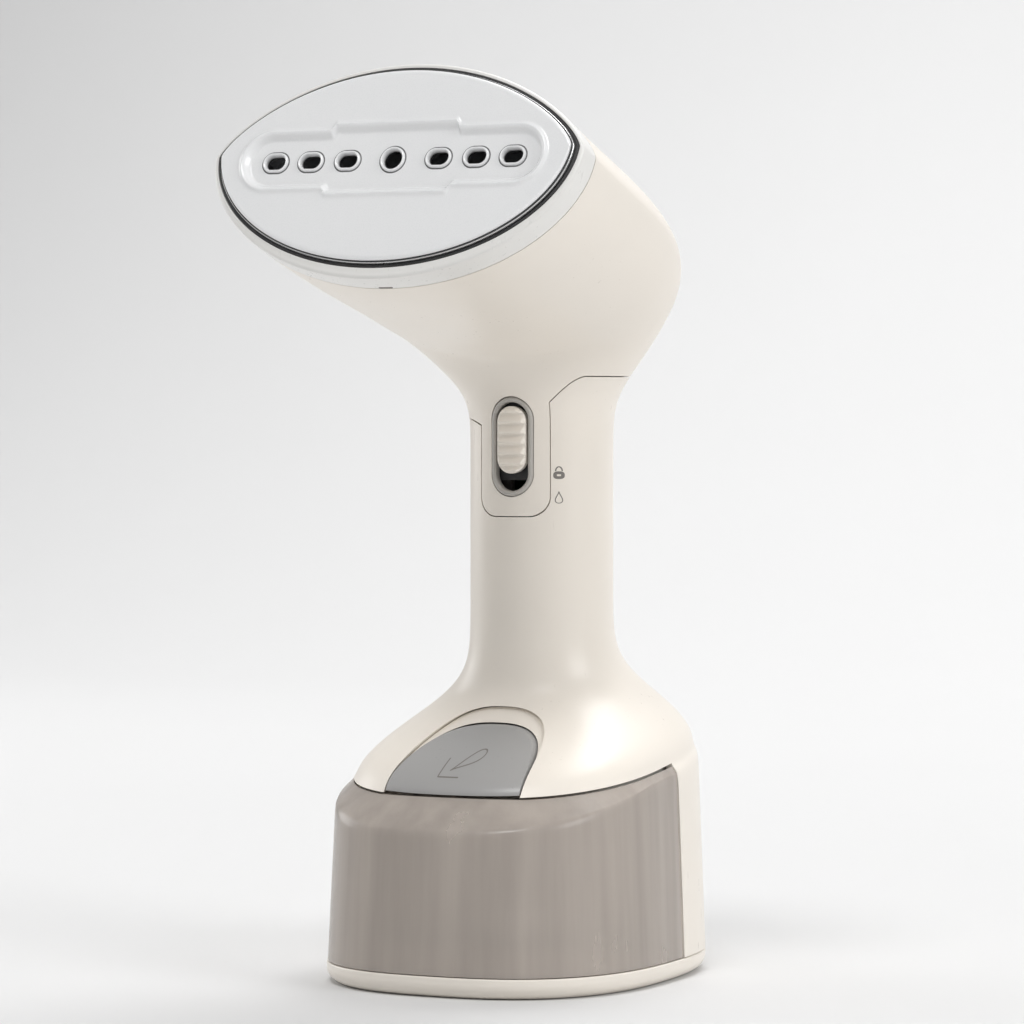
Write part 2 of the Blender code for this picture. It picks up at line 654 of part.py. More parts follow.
def base_tray():
    """Tray that closes the base from below: its rim shows as a band under the tank."""
    outer = []
    for part in np.linspace(0, 1, 5):
        turn = math.sqrt(1 - (1 - part) ** 2)
        outer.append(level_ring(RIM_ROUND * (1 - turn), (RIM_HEIGHT - MM) * part))
    outer.append(level_ring(0, RIM_HEIGHT))
    inner = [level_ring(2 * WALL, TRAY_FLOOR), level_ring(WALL, TRAY_FLOOR + WALL),
             level_ring(WALL, RIM_HEIGHT)]
    tray = cup("base_tray", np.array(outer), np.array(inner), "cream_plastic")
    posts, cuts = [], []
    for side in (-1, 1):
        foot = (side * CLAMP_REACH, CLAMP_Y, TRAY_FLOOR - FUSE)
        above = (side * CLAMP_REACH, CLAMP_Y, CLAMP_FOOT + NOTCH)
        height = CLAMP_FOOT - TRAY_FLOOR
        posts.append(rod(f"clamp_post_{side}", POST_RADIUS, height + FUSE, foot, (0, 0, 1), 16))
        cuts.append(rod(f"clamp_bore_{side}", SCREW_SHANK + GAP, height, above, (0, 0, -1)))
    for number, place in enumerate(PAD_PLACES, 1):
        outline = obround(PAD_LENGTH + 2 * GAP, PAD_WIDTH + 2 * GAP, place)
        cuts.append(prism(f"pad_pocket_{number}", outline, -NOTCH, PAD_THICK, "Z"))
    bay, spine = tray_screw_places()
    for number, place in enumerate(bay + spine, 1):
        below = (*place, -NOTCH)
        cuts.append(rod(f"head_bore_{number}", SCREW_HEAD + GAP, SCREW_SEAT + GAP + NOTCH, below, (0, 0, 1)))
        cuts.append(rod(f"shank_bore_{number}", SCREW_SHANK + GAP, TRAY_FLOOR + 2 * NOTCH, below, (0, 0, 1)))
    modify(tray, "UNION", *posts)
    modify(tray, "DIFFERENCE", *cuts)


def base_fittings():
    """Anti-slip pads and the screws that hold the tray."""
    for number, place in enumerate(PAD_PLACES, 1):
        outline = obround(PAD_LENGTH, PAD_WIDTH, place)
        prism(f"anti_slip_pad_{number}", outline, 0, PAD_THICK - GAP, "Z", "rubber")
    bay, spine = tray_screw_places()
    for number, place in enumerate(bay + spine, 1):
        screw(f"tray_screw_{number}", (*place, SCREW_SEAT), (0, 0, 1), TRAY_SCREW)


def main_housing():
    """Spine, flare and handle in one moulding, open at the front for the tank."""
    neck = [head_ring(part) for part in (0.96, 0.92)]
    grid = np.concatenate([body_grid(NECK_HEIGHT), neck])
    housing = skin("main_housing", grid, offset(grid, -WALL), "cream_plastic")
    _, spine = tray_screw_places()
    pairs = [boss_and_bore(f"spine_{number}", place, SEAM) for number, place in enumerate(spine, 1)]
    modify(housing, "UNION", *[boss for boss, _ in pairs])
    button_hole = prism("button_opening", button_outline(SLIDE_GAP, SCOOP_RISE), BASE_FRONT, FACE_Y, "Y")
    gland_hole = rod("gland_hole", GLAND_RADIUS + GAP, REACH, (0, BASE_BACK + NOTCH, CORD_Z), (0, -1, 0), 20)
    modify(housing, "DIFFERENCE", *[bore for _, bore in pairs], side_wedge("tank_bay", TANK_BACK, 0),
           *seam_cutters("neck_cut", GAP, NECK_HEIGHT + RIM_HALF_WIDTH), button_hole, gland_hole)


def bay_wall():
    """Wall behind the tank and deck over it, level below so that the tank can slide out."""
    low = TRAY_FLOOR + GAP
    outline = [(WALL_FRONT, low), (WALL_BACK, low), (WALL_BACK, top_plane(WALL_BACK) + INNER_WALL),
               (BASE_FRONT, top_plane(BASE_FRONT) + INNER_WALL), (BASE_FRONT, TOP_HEIGHT),
               (WALL_FRONT, TOP_HEIGHT)]
    wall = prism("bay_wall", outline, -BASE_HALF_WIDTH, BASE_HALF_WIDTH, "X", "inner_plastic")
    tray_clear = 2 * WALL + 2 * GAP
    foot = [level_ring(tray_clear, 0), level_ring(tray_clear, TRAY_FLOOR + WALL)]
    inside = offset(body_grid(FLARE_TOP + REACH), -WALL - 4 * GAP)
    modify(wall, "INTERSECT", solid("bay_space", np.concatenate([foot, inside])))
    bay, _ = tray_screw_places()
    pairs = [boss_and_bore(f"bay_{number}", place, low) for number, place in enumerate(bay, 1)]
    post = box("spring_post", (-SEAT_HALF, SPRING_END + GAP, top_plane(SPRING_END)),
               (SEAT_HALF, SPRING_END + INNER_WALL, SPRING_Z + SEAT_HALF))
    modify(wall, "UNION", post, *[boss for boss, _ in pairs])
    spigot_hole = rod("spigot_hole", SPIGOT_RADIUS + GAP, REACH, (0, WALL_FRONT - NOTCH, SPIGOT_Z),
                      (0, 1, 0), 20)
    slot = box("latch_slot", (-LATCH_HALF - MM, LATCH_Y - MM, TOP_HEIGHT - NOTCH),
               (LATCH_HALF + MM, LATCH_Y + LATCH_LENGTH + BUTTON_TRAVEL + MM, SPRING_Z))
    button_path = prism("button_path", button_outline(SLIDE_GAP), BASE_FRONT, LATCH_Y, "Y")
    modify(wall, "DIFFERENCE", *[bore for _, bore in pairs], spigot_hole, slot, button_path)


def cord_fittings():
    """Gland in the back of the spine, the clamp behind it and the terminals."""
    lean = WALL_LEAN * (CORD_Z - SEAM) / (EDGE_HEIGHT - SEAM)
    face = BASE_BACK - lean + 2 * GAP
    step = GLAND_PROUD / 4
    profile = [(GLAND_PROUD - GLAND_LENGTH, GLAND_RADIUS), (0, GLAND_RADIUS), (0, GLAND_FLANGE),
               (step, GLAND_FLANGE), (2 * step, GLAND_FLANGE - step), (GLAND_PROUD, GLAND_RADIUS)]
    bush("cord_gland", profile, CORD_BORE / 2, (0, face, CORD_Z), (0, 1, 0), "rubber", 20)
    side = CLAMP_REACH + POST_RADIUS
    foot = CLAMP_FOOT + GAP
    under = CORD_Z + CORD_BORE / 2 + GAP
    clear = CORD_BORE / 2 + MM
    outline = [(-side, foot), (-clear, foot), (-clear, under), (clear, under), (clear, foot), (side, foot),
               (side, CLAMP_HEAD), (-side, CLAMP_HEAD)]
    clamp = prism("cord_clamp", outline, CLAMP_Y - CLAMP_DEPTH / 2, CLAMP_Y + CLAMP_DEPTH / 2, "Y",
                  "inner_plastic")
    holes = []
    for number, end in enumerate((-1, 1), 1):
        place = (end * CLAMP_REACH, CLAMP_Y, CLAMP_HEAD + GAP)
        holes.append(rod(f"clamp_hole_{number}", SCREW_SHANK + GAP, REACH, place, (0, 0, -1)))
        screw(f"clamp_screw_{number}", place, (0, 0, -1), CLAMP_SCREW)
    modify(clamp, "DIFFERENCE", *holes)
    terminals()


def terminals():
    """Terminal block beside the clamp, with a screw well for each wire."""
    low = np.array((BASE_HALF_WIDTH - TERMINAL_SIDE, TANK_BACK + TERMINAL_BACK, TRAY_FLOOR + GAP))
    size = np.array((TERMINALS * TERMINAL_PITCH, TERMINAL_SIZE, TERMINAL_SIZE))
    block = box("terminal_block", low, low + size, "black_plastic")
    wells = []
    for number in range(TERMINALS):
        place = low + ((number + 0.5) * TERMINAL_PITCH, TERMINAL_SIZE / 2, TERMINAL_SIZE + NOTCH)
        wells.append(rod(f"terminal_well_{number}", TERMINAL_WELL, TERMINAL_SIZE / 2, place, (0, 0, -1), 10))
    modify(block, "DIFFERENCE", *wells)


# ---------------------------------------------------------------- tank

def tank_rings(inward):
    """Rings of the tank's skin from its foot to its sloping rim, moved inward."""
    rings = [wall_ring(TANK_RECESS, part) for part in (0, 0.5, 1)]
    rings.append(flare_ring(0) - (0, 0, GAP))
    grid = np.array(rings)
    return offset(grid, -inward) if inward else grid


def front_half(name, back):
    """All that lies ahead of a plane."""
    wide = BASE_HALF_WIDTH + NOTCH
    return box(name, (-wide, BASE_FRONT - NOTCH, -REACH), (wide, back, FLARE_TOP))


def tank():
    """Water tank: its rim follows the housing's edge, and its top under the housing is level."""
    shell = solid("tank_shell", tank_rings(0), "smoke_plastic")
    top = TOP_HEIGHT - GAP
    clear = SLIDE_GAP
    under = oval(BASE_HALF_WIDTH - WALL_LEAN - BEVEL_SIDE + clear, TOP_FRONT - clear,
                 BASE_BACK - WALL_LEAN - BEVEL_BACK + clear, BASE_SQUARENESS)
    modify(shell, "DIFFERENCE", prism("tank_top_cut", under, top, FLARE_TOP, "Z"))
    modify(shell, "INTERSECT", front_half("tank_front", TANK_FACE))
    inner = tank_rings(TANK_WALL)
    hollow = solid("tank_hollow", np.concatenate([inner[:1] - (0, 0, NOTCH), inner]))
    modify(hollow, "INTERSECT", front_half("hollow_front", TANK_FACE - TANK_WALL))
    modify(hollow, "DIFFERENCE", box("hollow_top", (-BASE_HALF_WIDTH, BASE_FRONT, top - TANK_WALL),
                                     (BASE_HALF_WIDTH, TANK_BACK, FLARE_TOP)))
    place = (COLLAR_FACE, FILLER_Y, FILLER_Z)
    collar = rod("filler_collar", FLAP_RADIUS + COLLAR_RIM, COLLAR_DEPTH, place, (1, 0, 0), 24)
    neck = rod("filler_neck", FILLER_NECK, REACH, (COLLAR_FACE - NOTCH, FILLER_Y, FILLER_Z), (1, 0, 0), 24)
    outlet_hole = rod("outlet_hole", OUTLET_RADIUS + GAP, 2 * TANK_WALL, (0, TANK_FACE + NOTCH, SPIGOT_Z),
                      (0, -1, 0), 20)
    modify(shell, "DIFFERENCE", hollow)
    modify(shell, "UNION", collar)
    modify(shell, "DIFFERENCE", neck, outlet_hole)
    tank_fittings()


def tank_fittings():
    """Welded floor of the tank, its outlet and the filter behind it."""
    inset = TANK_WALL + TANK_RECESS + GAP
    levels = (SEAM + SLIDE_GAP, SEAM + SLIDE_GAP + TANK_FLOOR)
    floor = solid("tank_floor", np.array([level_ring(inset, height) for height in levels]), "smoke_plastic")
    modify(floor, "INTERSECT", front_half("floor_front", TANK_FACE - TANK_WALL - GAP))
    bush("tank_outlet", [(0, OUTLET_RADIUS), (OUTLET_LENGTH, OUTLET_RADIUS)], SPIGOT_RADIUS + OUTLET_WALL,
         (0, TANK_FACE, SPIGOT_Z), (0, -1, 0), "grey_plastic")
    step = OUTLET_WALL
    profile = [(0, OUTLET_RADIUS - MM), (FILTER_LENGTH - step, OUTLET_RADIUS - MM),
               (FILTER_LENGTH, OUTLET_RADIUS - MM - step)]
    turned("tank_filter", profile, (0, TANK_FACE - OUTLET_LENGTH - GAP, SPIGOT_Z), (0, -1, 0), "silicone", 16)


def filler_flap():
    """Flap over the filler, with a plug on its inner side; it swings down on its hinge."""
    hinge = bpy.data.objects.new("filler_hinge", None)
    hinge.location = FLAP_HINGE
    bpy.context.scene.collection.objects.link(hinge)
    outside = -GAP - FLAP_THICK
    plug = FILLER_NECK - PLUG_FIT
    profile = [(outside, FLAP_RADIUS - SLIDE_GAP), (outside + SLIDE_GAP, FLAP_RADIUS), (-GAP, FLAP_RADIUS),
               (-GAP, plug), (PLUG_DEPTH, plug)]
    flap = turned("filler_flap", profile, (COLLAR_FACE, FILLER_Y, FILLER_Z), (1, 0, 0), "grey_plastic", 24)
    tab = box("flap_tab", (COLLAR_FACE + outside, FILLER_Y - FLAP_TAB / 2, FLAP_HINGE[2] - FLAP_THICK / 2),
              (COLLAR_FACE - GAP, FILLER_Y + FLAP_TAB / 2, FILLER_Z - FLAP_RADIUS + FLAP_THICK))
    modify(flap, "UNION", tab)
    for piece in (flap, tab):
        piece.parent = hinge
        piece.matrix_parent_inverse = hinge.matrix_basis.inverted()


# ---------------------------------------------------------------- release button

def button_outline(clearance, rise=0.0):
    """Front view of the button: an arch that stands on the edge above the tank."""
    angle = np.linspace(0, math.pi, 17)
    across = np.sign(np.cos(angle)) * np.abs(np.cos(angle)) ** (2 / BUTTON_SQUARENESS)
    ahead = np.sin(angle) ** (2 / BUTTON_SQUARENESS)
    x = (BUTTON_HALF_WIDTH + clearance) * across
    z = TOP_HEIGHT + (BUTTON_TOP - TOP_HEIGHT + clearance + rise) * ahead
    foot = TOP_HEIGHT - BEVEL_FRONT
    return np.vstack([np.column_stack([x, z]), [(x[-1], foot), (x[0], foot)]])


def flare_solid(name, inward):
    """The space inside the flare's skin, moved inward."""
    grid = np.array([flare_ring(part) for part in np.linspace(0, 1, 11)])
    return solid(name, offset(grid, -inward) if inward else grid)


def release_button():
    """Button that lets the tank go, its latch and spring, and the finger scoop above it."""
    button = prism("release_button", button_outline(0), BASE_FRONT, FACE_Y - NOTCH, "Y", "grey_plastic",
                   (0, LATCH_Y, SPRING_Z))
    modify(button, "INTERSECT", flare_solid("button_face", 0))
    modify(button, "DIFFERENCE", flare_solid("button_back", BUTTON_SKIN),
           side_wedge("button_foot_cut", 0, -SLIDE_GAP))
    stem = box("button_stem", (-LATCH_HALF, LATCH_Y, TOP_HEIGHT + SLIDE_GAP),
               (LATCH_HALF, LATCH_Y + LATCH_LENGTH, SPRING_Z))
    arm = box("button_arm", (-LATCH_HALF, LATCH_Y - LATCH_LENGTH, SPRING_Z - LATCH_HALF),
              (LATCH_HALF, SPRING_START - GAP, SPRING_Z))
    seat = box("spring_seat", (-SEAT_HALF, SPRING_START - LATCH_LENGTH, SPRING_Z - SEAT_HALF),
               (SEAT_HALF, SPRING_START - GAP, SPRING_Z + SEAT_HALF))
    modify(arm, "UNION", stem, seat)
    modify(arm, "INTERSECT", flare_solid("arm_trim", BUTTON_SKIN / 2))
    modify(button, "UNION", arm)
    surround = prism("button_surround", button_outline(SLIDE_GAP - GAP, SCOOP_RISE), BASE_FRONT,
                     FACE_Y - NOTCH, "Y", "cream_plastic")
    modify(surround, "INTERSECT", flare_solid("surround_face", SCOOP_DEPTH))
    modify(surround, "DIFFERENCE", flare_solid("surround_back", SCOOP_DEPTH + SCOOP_SKIN),
           prism("surround_hole", button_outline(SLIDE_GAP), BASE_FRONT - NOTCH, FACE_Y, "Y"))
    turn = np.linspace(0, 1, SPRING_TURNS * 10 + 1)
    wire = np.column_stack([SPRING_RADIUS * np.cos(turn * TAU * SPRING_TURNS),
                            SPRING_START + SPRING_WIRE + (SPRING_LENGTH - 2 * SPRING_WIRE) * turn,
                            SPRING_Z + SPRING_RADIUS * np.sin(turn * TAU * SPRING_TURNS)])
    solid("release_spring", tube_rings(wire, SPRING_WIRE, 5), "steel")


# ---------------------------------------------------------------- switch

def handle_tube(name, outward):
    """A length of the handle's form round the switch, moved outward."""
    flat = oval(HANDLE_HALF_WIDTH + outward, FACE_Y - outward, HANDLE_Y + HANDLE_HALF_DEPTH + outward, 2, 72)
    return prism(name, flat, SWITCH_Z - SWITCH_HEIGHT, SWITCH_Z + SWITCH_HEIGHT, "Z")


def slide_switch():
    """Bezel in the tongue and the ribbed knob that slides in it."""
    front = FACE_Y - 2 * KNOB_PROUD
    back = FACE_Y + HANDLE_HALF_DEPTH / 2
    outer = obround(SWITCH_WIDTH, SWITCH_HEIGHT, (0, SWITCH_Z), 10)
    bezel = prism("switch_bezel", outer, front, back, "Y", "grey_plastic")
    inner = obround(SWITCH_WIDTH - 2 * SWITCH_RIM, SWITCH_HEIGHT - 2 * SWITCH_RIM, (0, SWITCH_Z), 10)
    modify(bezel, "INTERSECT", handle_tube("bezel_face", SWITCH_PROUD))
    modify(bezel, "DIFFERENCE", handle_tube("bezel_back", -WALL),
           prism("bezel_slot", inner, front - NOTCH, back + NOTCH, "Y"))
    knob = prism("slide_knob", obround(KNOB_WIDTH, KNOB_HEIGHT, (0, KNOB_Z), 10), front,
                 FACE_Y + KNOB_DEPTH, "Y", "cream_plastic", (0, FACE_Y, KNOB_Z))
    modify(knob, "INTERSECT", handle_tube("knob_face", KNOB_PROUD))
    pitch = KNOB_HEIGHT * 0.75 / KNOB_RIBS
    bottom = FACE_Y - KNOB_PROUD + KNOB_GROOVE
    narrow, broad = pitch * 0.15, pitch * 0.55
    grooves = []
    for step in range(KNOB_RIBS + 1):
        middle = KNOB_Z + (step - KNOB_RIBS / 2) * pitch
        outline = [(front, middle - broad), (bottom, middle - narrow), (bottom, middle + narrow),
                   (front, middle + broad)]
        grooves.append(prism(f"knob_groove_{step}", outline, -KNOB_WIDTH, KNOB_WIDTH, "X"))
    modify(knob, "DIFFERENCE", *grooves)
    micro_switch()


def micro_switch():
    """Carrier that moves with the knob, and the switch that its passing works."""
    near = FACE_Y + KNOB_DEPTH + GAP
    half = SWITCH_WIDTH / 2 - SWITCH_RIM / 2
    box("slide_carrier", (-half, near, KNOB_Z - CARRIER_HEIGHT / 2),
        (half, near + CARRIER_THICK, KNOB_Z + CARRIER_HEIGHT / 2), "black_plastic", (0, FACE_Y, KNOB_Z))
    touch = near + CARRIER_THICK + GAP
    wide, deep, high = SWITCH_BODY
    body_front = touch + MM
    body = box("micro_switch", (-wide / 2, body_front, SWITCH_Z - high / 2),
               (wide / 2, body_front + deep, SWITCH_Z + high / 2), "black_plastic")
    lever = box("switch_lever", (-wide / 6, touch, SWITCH_Z - high / 4),
                (wide / 6, body_front + FUSE, SWITCH_Z + high / 4))
    thick, length, broad = SWITCH_LEG
    legs = []
    for step in (-1, 0, 1):
        middle = SWITCH_Z + step * SWITCH_LEG_PITCH
        legs.append(box(f"switch_leg_{step}", (-thick / 2, body_front + deep - FUSE, middle - broad / 2),
                        (thick / 2, body_front + deep + length, middle + broad / 2)))
    modify(body, "UNION", lever, *legs)


# ---------------------------------------------------------------- head

def head_shell():
    """Horn of the head with the tongue that runs down the front of the handle."""
    rings = [head_ring(part) for part in np.linspace(head_share(BEZEL_DEPTH + GAP), 1, 12)]
    rings += [handle_ring(height) for height in (SWITCH_Z, TONGUE_BOTTOM - NOTCH)]
    grid = np.array(rings)[::-1]
    shell = skin("head_shell", grid, offset(grid, -WALL), "cream_plastic")
    outline = obround(SWITCH_WIDTH + 2 * GAP, SWITCH_HEIGHT + 2 * GAP, (0, SWITCH_Z), 10)
    opening = prism("switch_opening", outline, FACE_Y - NOTCH, FACE_Y + HANDLE_HALF_DEPTH / 2, "Y")
    modify(shell, "DIFFERENCE", *seam_cutters("tongue_cut", 0, TONGUE_BOTTOM - REACH), opening)


def head_bezel():
    """Ring that holds the plate and covers the front edge of the head."""
    outer = [head_ring(part) for part in np.linspace(head_share(BEZEL_DEPTH), 0, 3)]
    outer.append(head_ring(0, BEZEL_LIP / 2) + BEZEL_LIP * FORWARD)
    inner = [eye_ring(-PLATE_MARGIN, out) for out in (MM - RIM_BACK - BEZEL_DEPTH, BEZEL_LIP - RIM_BACK)]
    skin("head_bezel", np.array(outer), np.array(inner), "bezel_plastic")


def channel_outline():
    """Stepped outline round the row of holes."""
    half, high = CHANNEL_HALF_LENGTH, CHANNEL_HALF_HEIGHT
    end = np.linspace(-math.pi / 2, math.pi / 2, 9)
    right = np.column_stack([half - high + high * np.cos(end), high * np.sin(end)])
    step = np.array([(BLOCK_HALF_LENGTH + CHANNEL_SLOPE, high), (BLOCK_HALF_LENGTH, high + BLOCK_EXTRA)])
    above = np.vstack([step, step[::-1] * (-1, 1)])
    return np.vstack([right, above, -right, -above])


def plate_prism(name, outline, low, high):
    """An extrusion square to the plate, from one distance out of its face to another."""
    layers = [plate_point(outline[:, 0], outline[:, 1], out) for out in (low, high)]
    return solid(name, np.array(layers))


def steam_plate():
    """Soleplate with its stepped channel and seven steam holes, and the seal round it."""
    around = 56
    grid = [eye_ring(0, -PLATE_THICK, around), eye_ring(0, -PLATE_BEVEL, around),
            eye_ring(PLATE_BEVEL, 0, around)]
    plate = solid("steam_plate", np.array(grid), "plate_glaze")
    modify(plate, "DIFFERENCE", plate_prism("steam_channel", channel_outline(), -CHANNEL_DEPTH, NOTCH))
    holes = [plate_prism("hole_middle", obround(MIDDLE_HOLE, MIDDLE_HOLE), -PLATE_THICK - NOTCH, NOTCH)]
    for side in (-1, 1):
        for number, step in enumerate(HOLE_STEPS, 1):
            outline = obround(HOLE_LENGTH, HOLE_HEIGHT, (side * step, 0), 5)
            holes.append(plate_prism(f"hole_{side}_{number}", outline, -PLATE_THICK - NOTCH, NOTCH))
    modify(plate, "DIFFERENCE", *holes)
    depth = (-PLATE_THICK - MM, -RIM_BACK / 2)
    skin("plate_seal", np.array([eye_ring(-GAP - SEAL_WIDTH, out) for out in depth]),
         np.array([eye_ring(-GAP, out) for out in depth]), "rubber")


def steam_chamber():
    """Cast chamber behind the plate, its gasket, heating element, cut-outs and inlet."""
    front = CHAMBER_OUT + CHAMBER_DEPTH
    inset = CHAMBER_INSET
    outer = [eye_ring(inset + MM, CHAMBER_OUT), eye_ring(inset, CHAMBER_OUT + MM), eye_ring(inset, front)]
    inner = [eye_ring(inset + CHAMBER_RIM, CHAMBER_OUT + CHAMBER_BACK), eye_ring(inset + CHAMBER_RIM, front)]
    chamber = cup("steam_chamber", np.array(outer), np.array(inner), "cast_aluminium")
    behind = plate_point(0.0, INLET_UP, CHAMBER_OUT - NOTCH)
    bores = [rod("inlet_bore", HOSE_RADIUS + GAP, CHAMBER_DEPTH, behind, FORWARD, 16)]
    for side in (-1, 1):
        place = plate_point(FUSE_X + side * CLIP_SCREW_REACH, INLET_UP, CHAMBER_OUT - NOTCH)
        bores.append(rod(f"clip_bore_{side}", SCREW_SHANK + GAP, CHAMBER_BACK, place, FORWARD))
    modify(chamber, "DIFFERENCE", *bores)
    depth = (front + GAP, front + GAP + GASKET_THICK)
    skin("chamber_gasket", np.array([eye_ring(inset + GAP, out) for out in depth]),
         np.array([eye_ring(inset + CHAMBER_RIM - GAP, out) for out in depth]), "silicone")
    arc = np.linspace(math.pi / 2, -math.pi / 2, 7)
    bend = np.column_stack([ELEMENT_REACH + ELEMENT_RISE * np.cos(arc), ELEMENT_RISE * np.sin(arc)])
    run = np.vstack([[(-ELEMENT_REACH, ELEMENT_RISE)], bend, [(-ELEMENT_REACH, -ELEMENT_RISE)]])
    path = plate_point(run[:, 0], run[:, 1] + ELEMENT_UP, ELEMENT_OUT)
    solid("heating_element", tube_rings(path, ELEMENT_RADIUS, 10), "steel")
    half = THERMOSTAT_DEPTH / 2
    disc = [(0, THERMOSTAT_RADIUS), (half, THERMOSTAT_RADIUS), (half, THERMOSTAT_RADIUS * 0.7),
            (THERMOSTAT_DEPTH, THERMOSTAT_RADIUS * 0.7)]
    middle = plate_point(0.0, ELEMENT_UP, CHAMBER_OUT - GAP)
    turned("thermostat", disc, middle, BACKWARD, "black_plastic", 16)
    stub = 2 * INLET_BORE
    nozzle = [(-CHAMBER_RIM, stub), (0, stub), (0, 2 * stub), (stub, 2 * stub), (stub, stub),
              (2 * stub, stub)]
    inlet = plate_point(0.0, INLET_UP, CHAMBER_OUT - GAP)
    bush("chamber_inlet", nozzle, INLET_BORE, inlet, BACKWARD, "steel", 16)
    fuse_and_clip()


def fuse_and_clip():
    """Thermal fuse held against the chamber by a bent strap and two screws."""
    low = CHAMBER_OUT - GAP
    foot = plate_point(FUSE_X, INLET_UP - FUSE_LENGTH / 2, low - FUSE_RADIUS)
    upward = plate_point(0.0, 1.0, 0.0) - plate_point(0.0, 0.0, 0.0)
    profile = [(0, FUSE_RADIUS * 0.5), (MM, FUSE_RADIUS), (FUSE_LENGTH - MM, FUSE_RADIUS),
               (FUSE_LENGTH, FUSE_RADIUS * 0.5)]
    turned("thermal_fuse", profile, foot, upward, "silicone", 12)
    near = FUSE_RADIUS + GAP
    far = near + CLIP_THICK
    crown = low - 2 * FUSE_RADIUS - GAP
    inner = np.array([(CLIP_HALF_LENGTH, low), (near, low), (near, crown)])
    outer = np.array([(far, crown - CLIP_THICK), (far, low - CLIP_THICK),
                      (CLIP_HALF_LENGTH, low - CLIP_THICK)])
    outline = np.vstack([inner * (-1, 1), inner[::-1], outer[::-1], outer * (-1, 1)])
    layers = [plate_point(FUSE_X + outline[:, 0], INLET_UP + side * CLIP_HALF_WIDTH, outline[:, 1])
              for side in (-1, 1)]
    clip = solid("fuse_clip", np.array(layers), "steel")
    holes = []
    for number, side in enumerate((-1, 1), 1):
        place = plate_point(FUSE_X + side * CLIP_SCREW_REACH, INLET_UP, low - CLIP_THICK - GAP)
        holes.append(rod(f"clip_hole_{number}", SCREW_SHANK + GAP, 2 * NOTCH + CLIP_THICK,
                         place - NOTCH * FORWARD, FORWARD))
        screw(f"clip_screw_{number}", place, FORWARD, CLIP_SCREW)
    modify(clip, "DIFFERENCE", *holes)


# ---------------------------------------------------------------- pump, hoses, electronics

def water_path():
    """Spigot that meets the tank, pump in the flare and the two hoses."""
    nose = TANK_BACK - SPIGOT_REACH
    behind = WALL_BACK + GAP - nose
    stub = HOSE_RADIUS - GAP
    profile = [(0, SPIGOT_RADIUS - MM), (MM, SPIGOT_RADIUS), (behind, SPIGOT_RADIUS), (behind, SPIGOT_FLANGE),
               (behind + MM, SPIGOT_FLANGE), (behind + MM, stub), (behind + PUMP_STUB, stub)]
    bush("water_spigot", profile, SPIGOT_BORE, (0, nose, SPIGOT_Z), (0, 1, 0), "inner_plastic", 16)
    seal = SPIGOT_RADIUS + OUTLET_WALL - GAP
    ring = [(OUTLET_WALL, seal), (2 * OUTLET_WALL, seal)]
    bush("spigot_seal", ring, SPIGOT_RADIUS + GAP, (0, nose, SPIGOT_Z), (0, 1, 0), "rubber", 20)
    low, high = PUMP_Z - PUMP_HEIGHT / 2, PUMP_Z + PUMP_HEIGHT / 2
    cap = 0.65 * PUMP_RADIUS
    shoulder = PUMP_HEIGHT / 8
    body = [(-PUMP_STUB, stub), (0, stub), (0, cap), (shoulder, cap), (shoulder, PUMP_RADIUS),
            (PUMP_HEIGHT - shoulder, PUMP_RADIUS), (PUMP_HEIGHT - shoulder, cap), (PUMP_HEIGHT, cap),
            (PUMP_HEIGHT, stub), (PUMP_HEIGHT + PUMP_STUB, stub)]
    turned("water_pump", body, (0, HANDLE_Y, low), (0, 0, 1), "black_plastic", 20)
    thick = PUMP_RADIUS + GAP + SLEEVE_THICK
    sleeve = [(-SLEEVE_HEIGHT / 2, thick), (SLEEVE_HEIGHT / 2, thick)]
    bush("pump_sleeve", sleeve, PUMP_RADIUS + GAP, (0, HANDLE_Y, PUMP_Z), (0, 0, 1), "rubber", 20)
    start = nose + behind + PUMP_STUB + HOSE_GAP
    below = low - PUMP_STUB - HOSE_GAP
    hose("intake_hose", [(0, start, SPIGOT_Z), (0, start + 4 * MM, SPIGOT_Z),
                         (0, start + 12 * MM, SPIGOT_Z + 6 * MM), (0, start + 13 * MM, SPIGOT_Z + 17 * MM),
                         (0, HANDLE_Y + 2 * MM, below - 12 * MM), (0, HANDLE_Y, below - 4 * MM),
                         (0, HANDLE_Y, below)])
    inlet = plate_point(0.0, INLET_UP, CHAMBER_OUT - GAP - 4 * INLET_BORE - HOSE_GAP)
    above = high + PUMP_STUB + HOSE_GAP
    hose("feed_hose", [(0, HANDLE_Y, above), (0, HANDLE_Y, above + 4 * MM), (0, HANDLE_Y, above + 8 * MM),
                       (-10 * MM, HANDLE_Y - 3 * MM, above + 30 * MM),
                       (-10 * MM, HANDLE_Y - 3 * MM, NECK_HEIGHT - 8 * MM),
                       (-8 * MM, HANDLE_Y - 11 * MM, NECK_HEIGHT + 12 * MM),
                       (-3 * MM, HANDLE_Y - 34 * MM, NECK_HEIGHT + 28 * MM),
                       inlet + 15 * MM * BACKWARD, inlet + 4 * MM * BACKWARD, inlet])


def control_board():
    """Circuit board in the handle with its relay and its driver."""
    near = HANDLE_Y + BOARD_BACK
    foot = FLARE_TOP + BOARD_RISE
    board = box("control_board", (-BOARD_WIDTH / 2, near, foot),
                (BOARD_WIDTH / 2, near + BOARD_THICK, foot + BOARD_HEIGHT), "board")
    blocks = []
    for name, size, share in (("relay", RELAY, 0.15), ("driver", DRIVER, 0.6)):
        wide, deep, high = size
        low = (BOARD_WIDTH / 2 - MM - wide, near - deep, foot + share * BOARD_HEIGHT)
        blocks.append(box(name, low, (low[0] + wide, near + FUSE, low[2] + high)))
    modify(board, "UNION", *blocks)


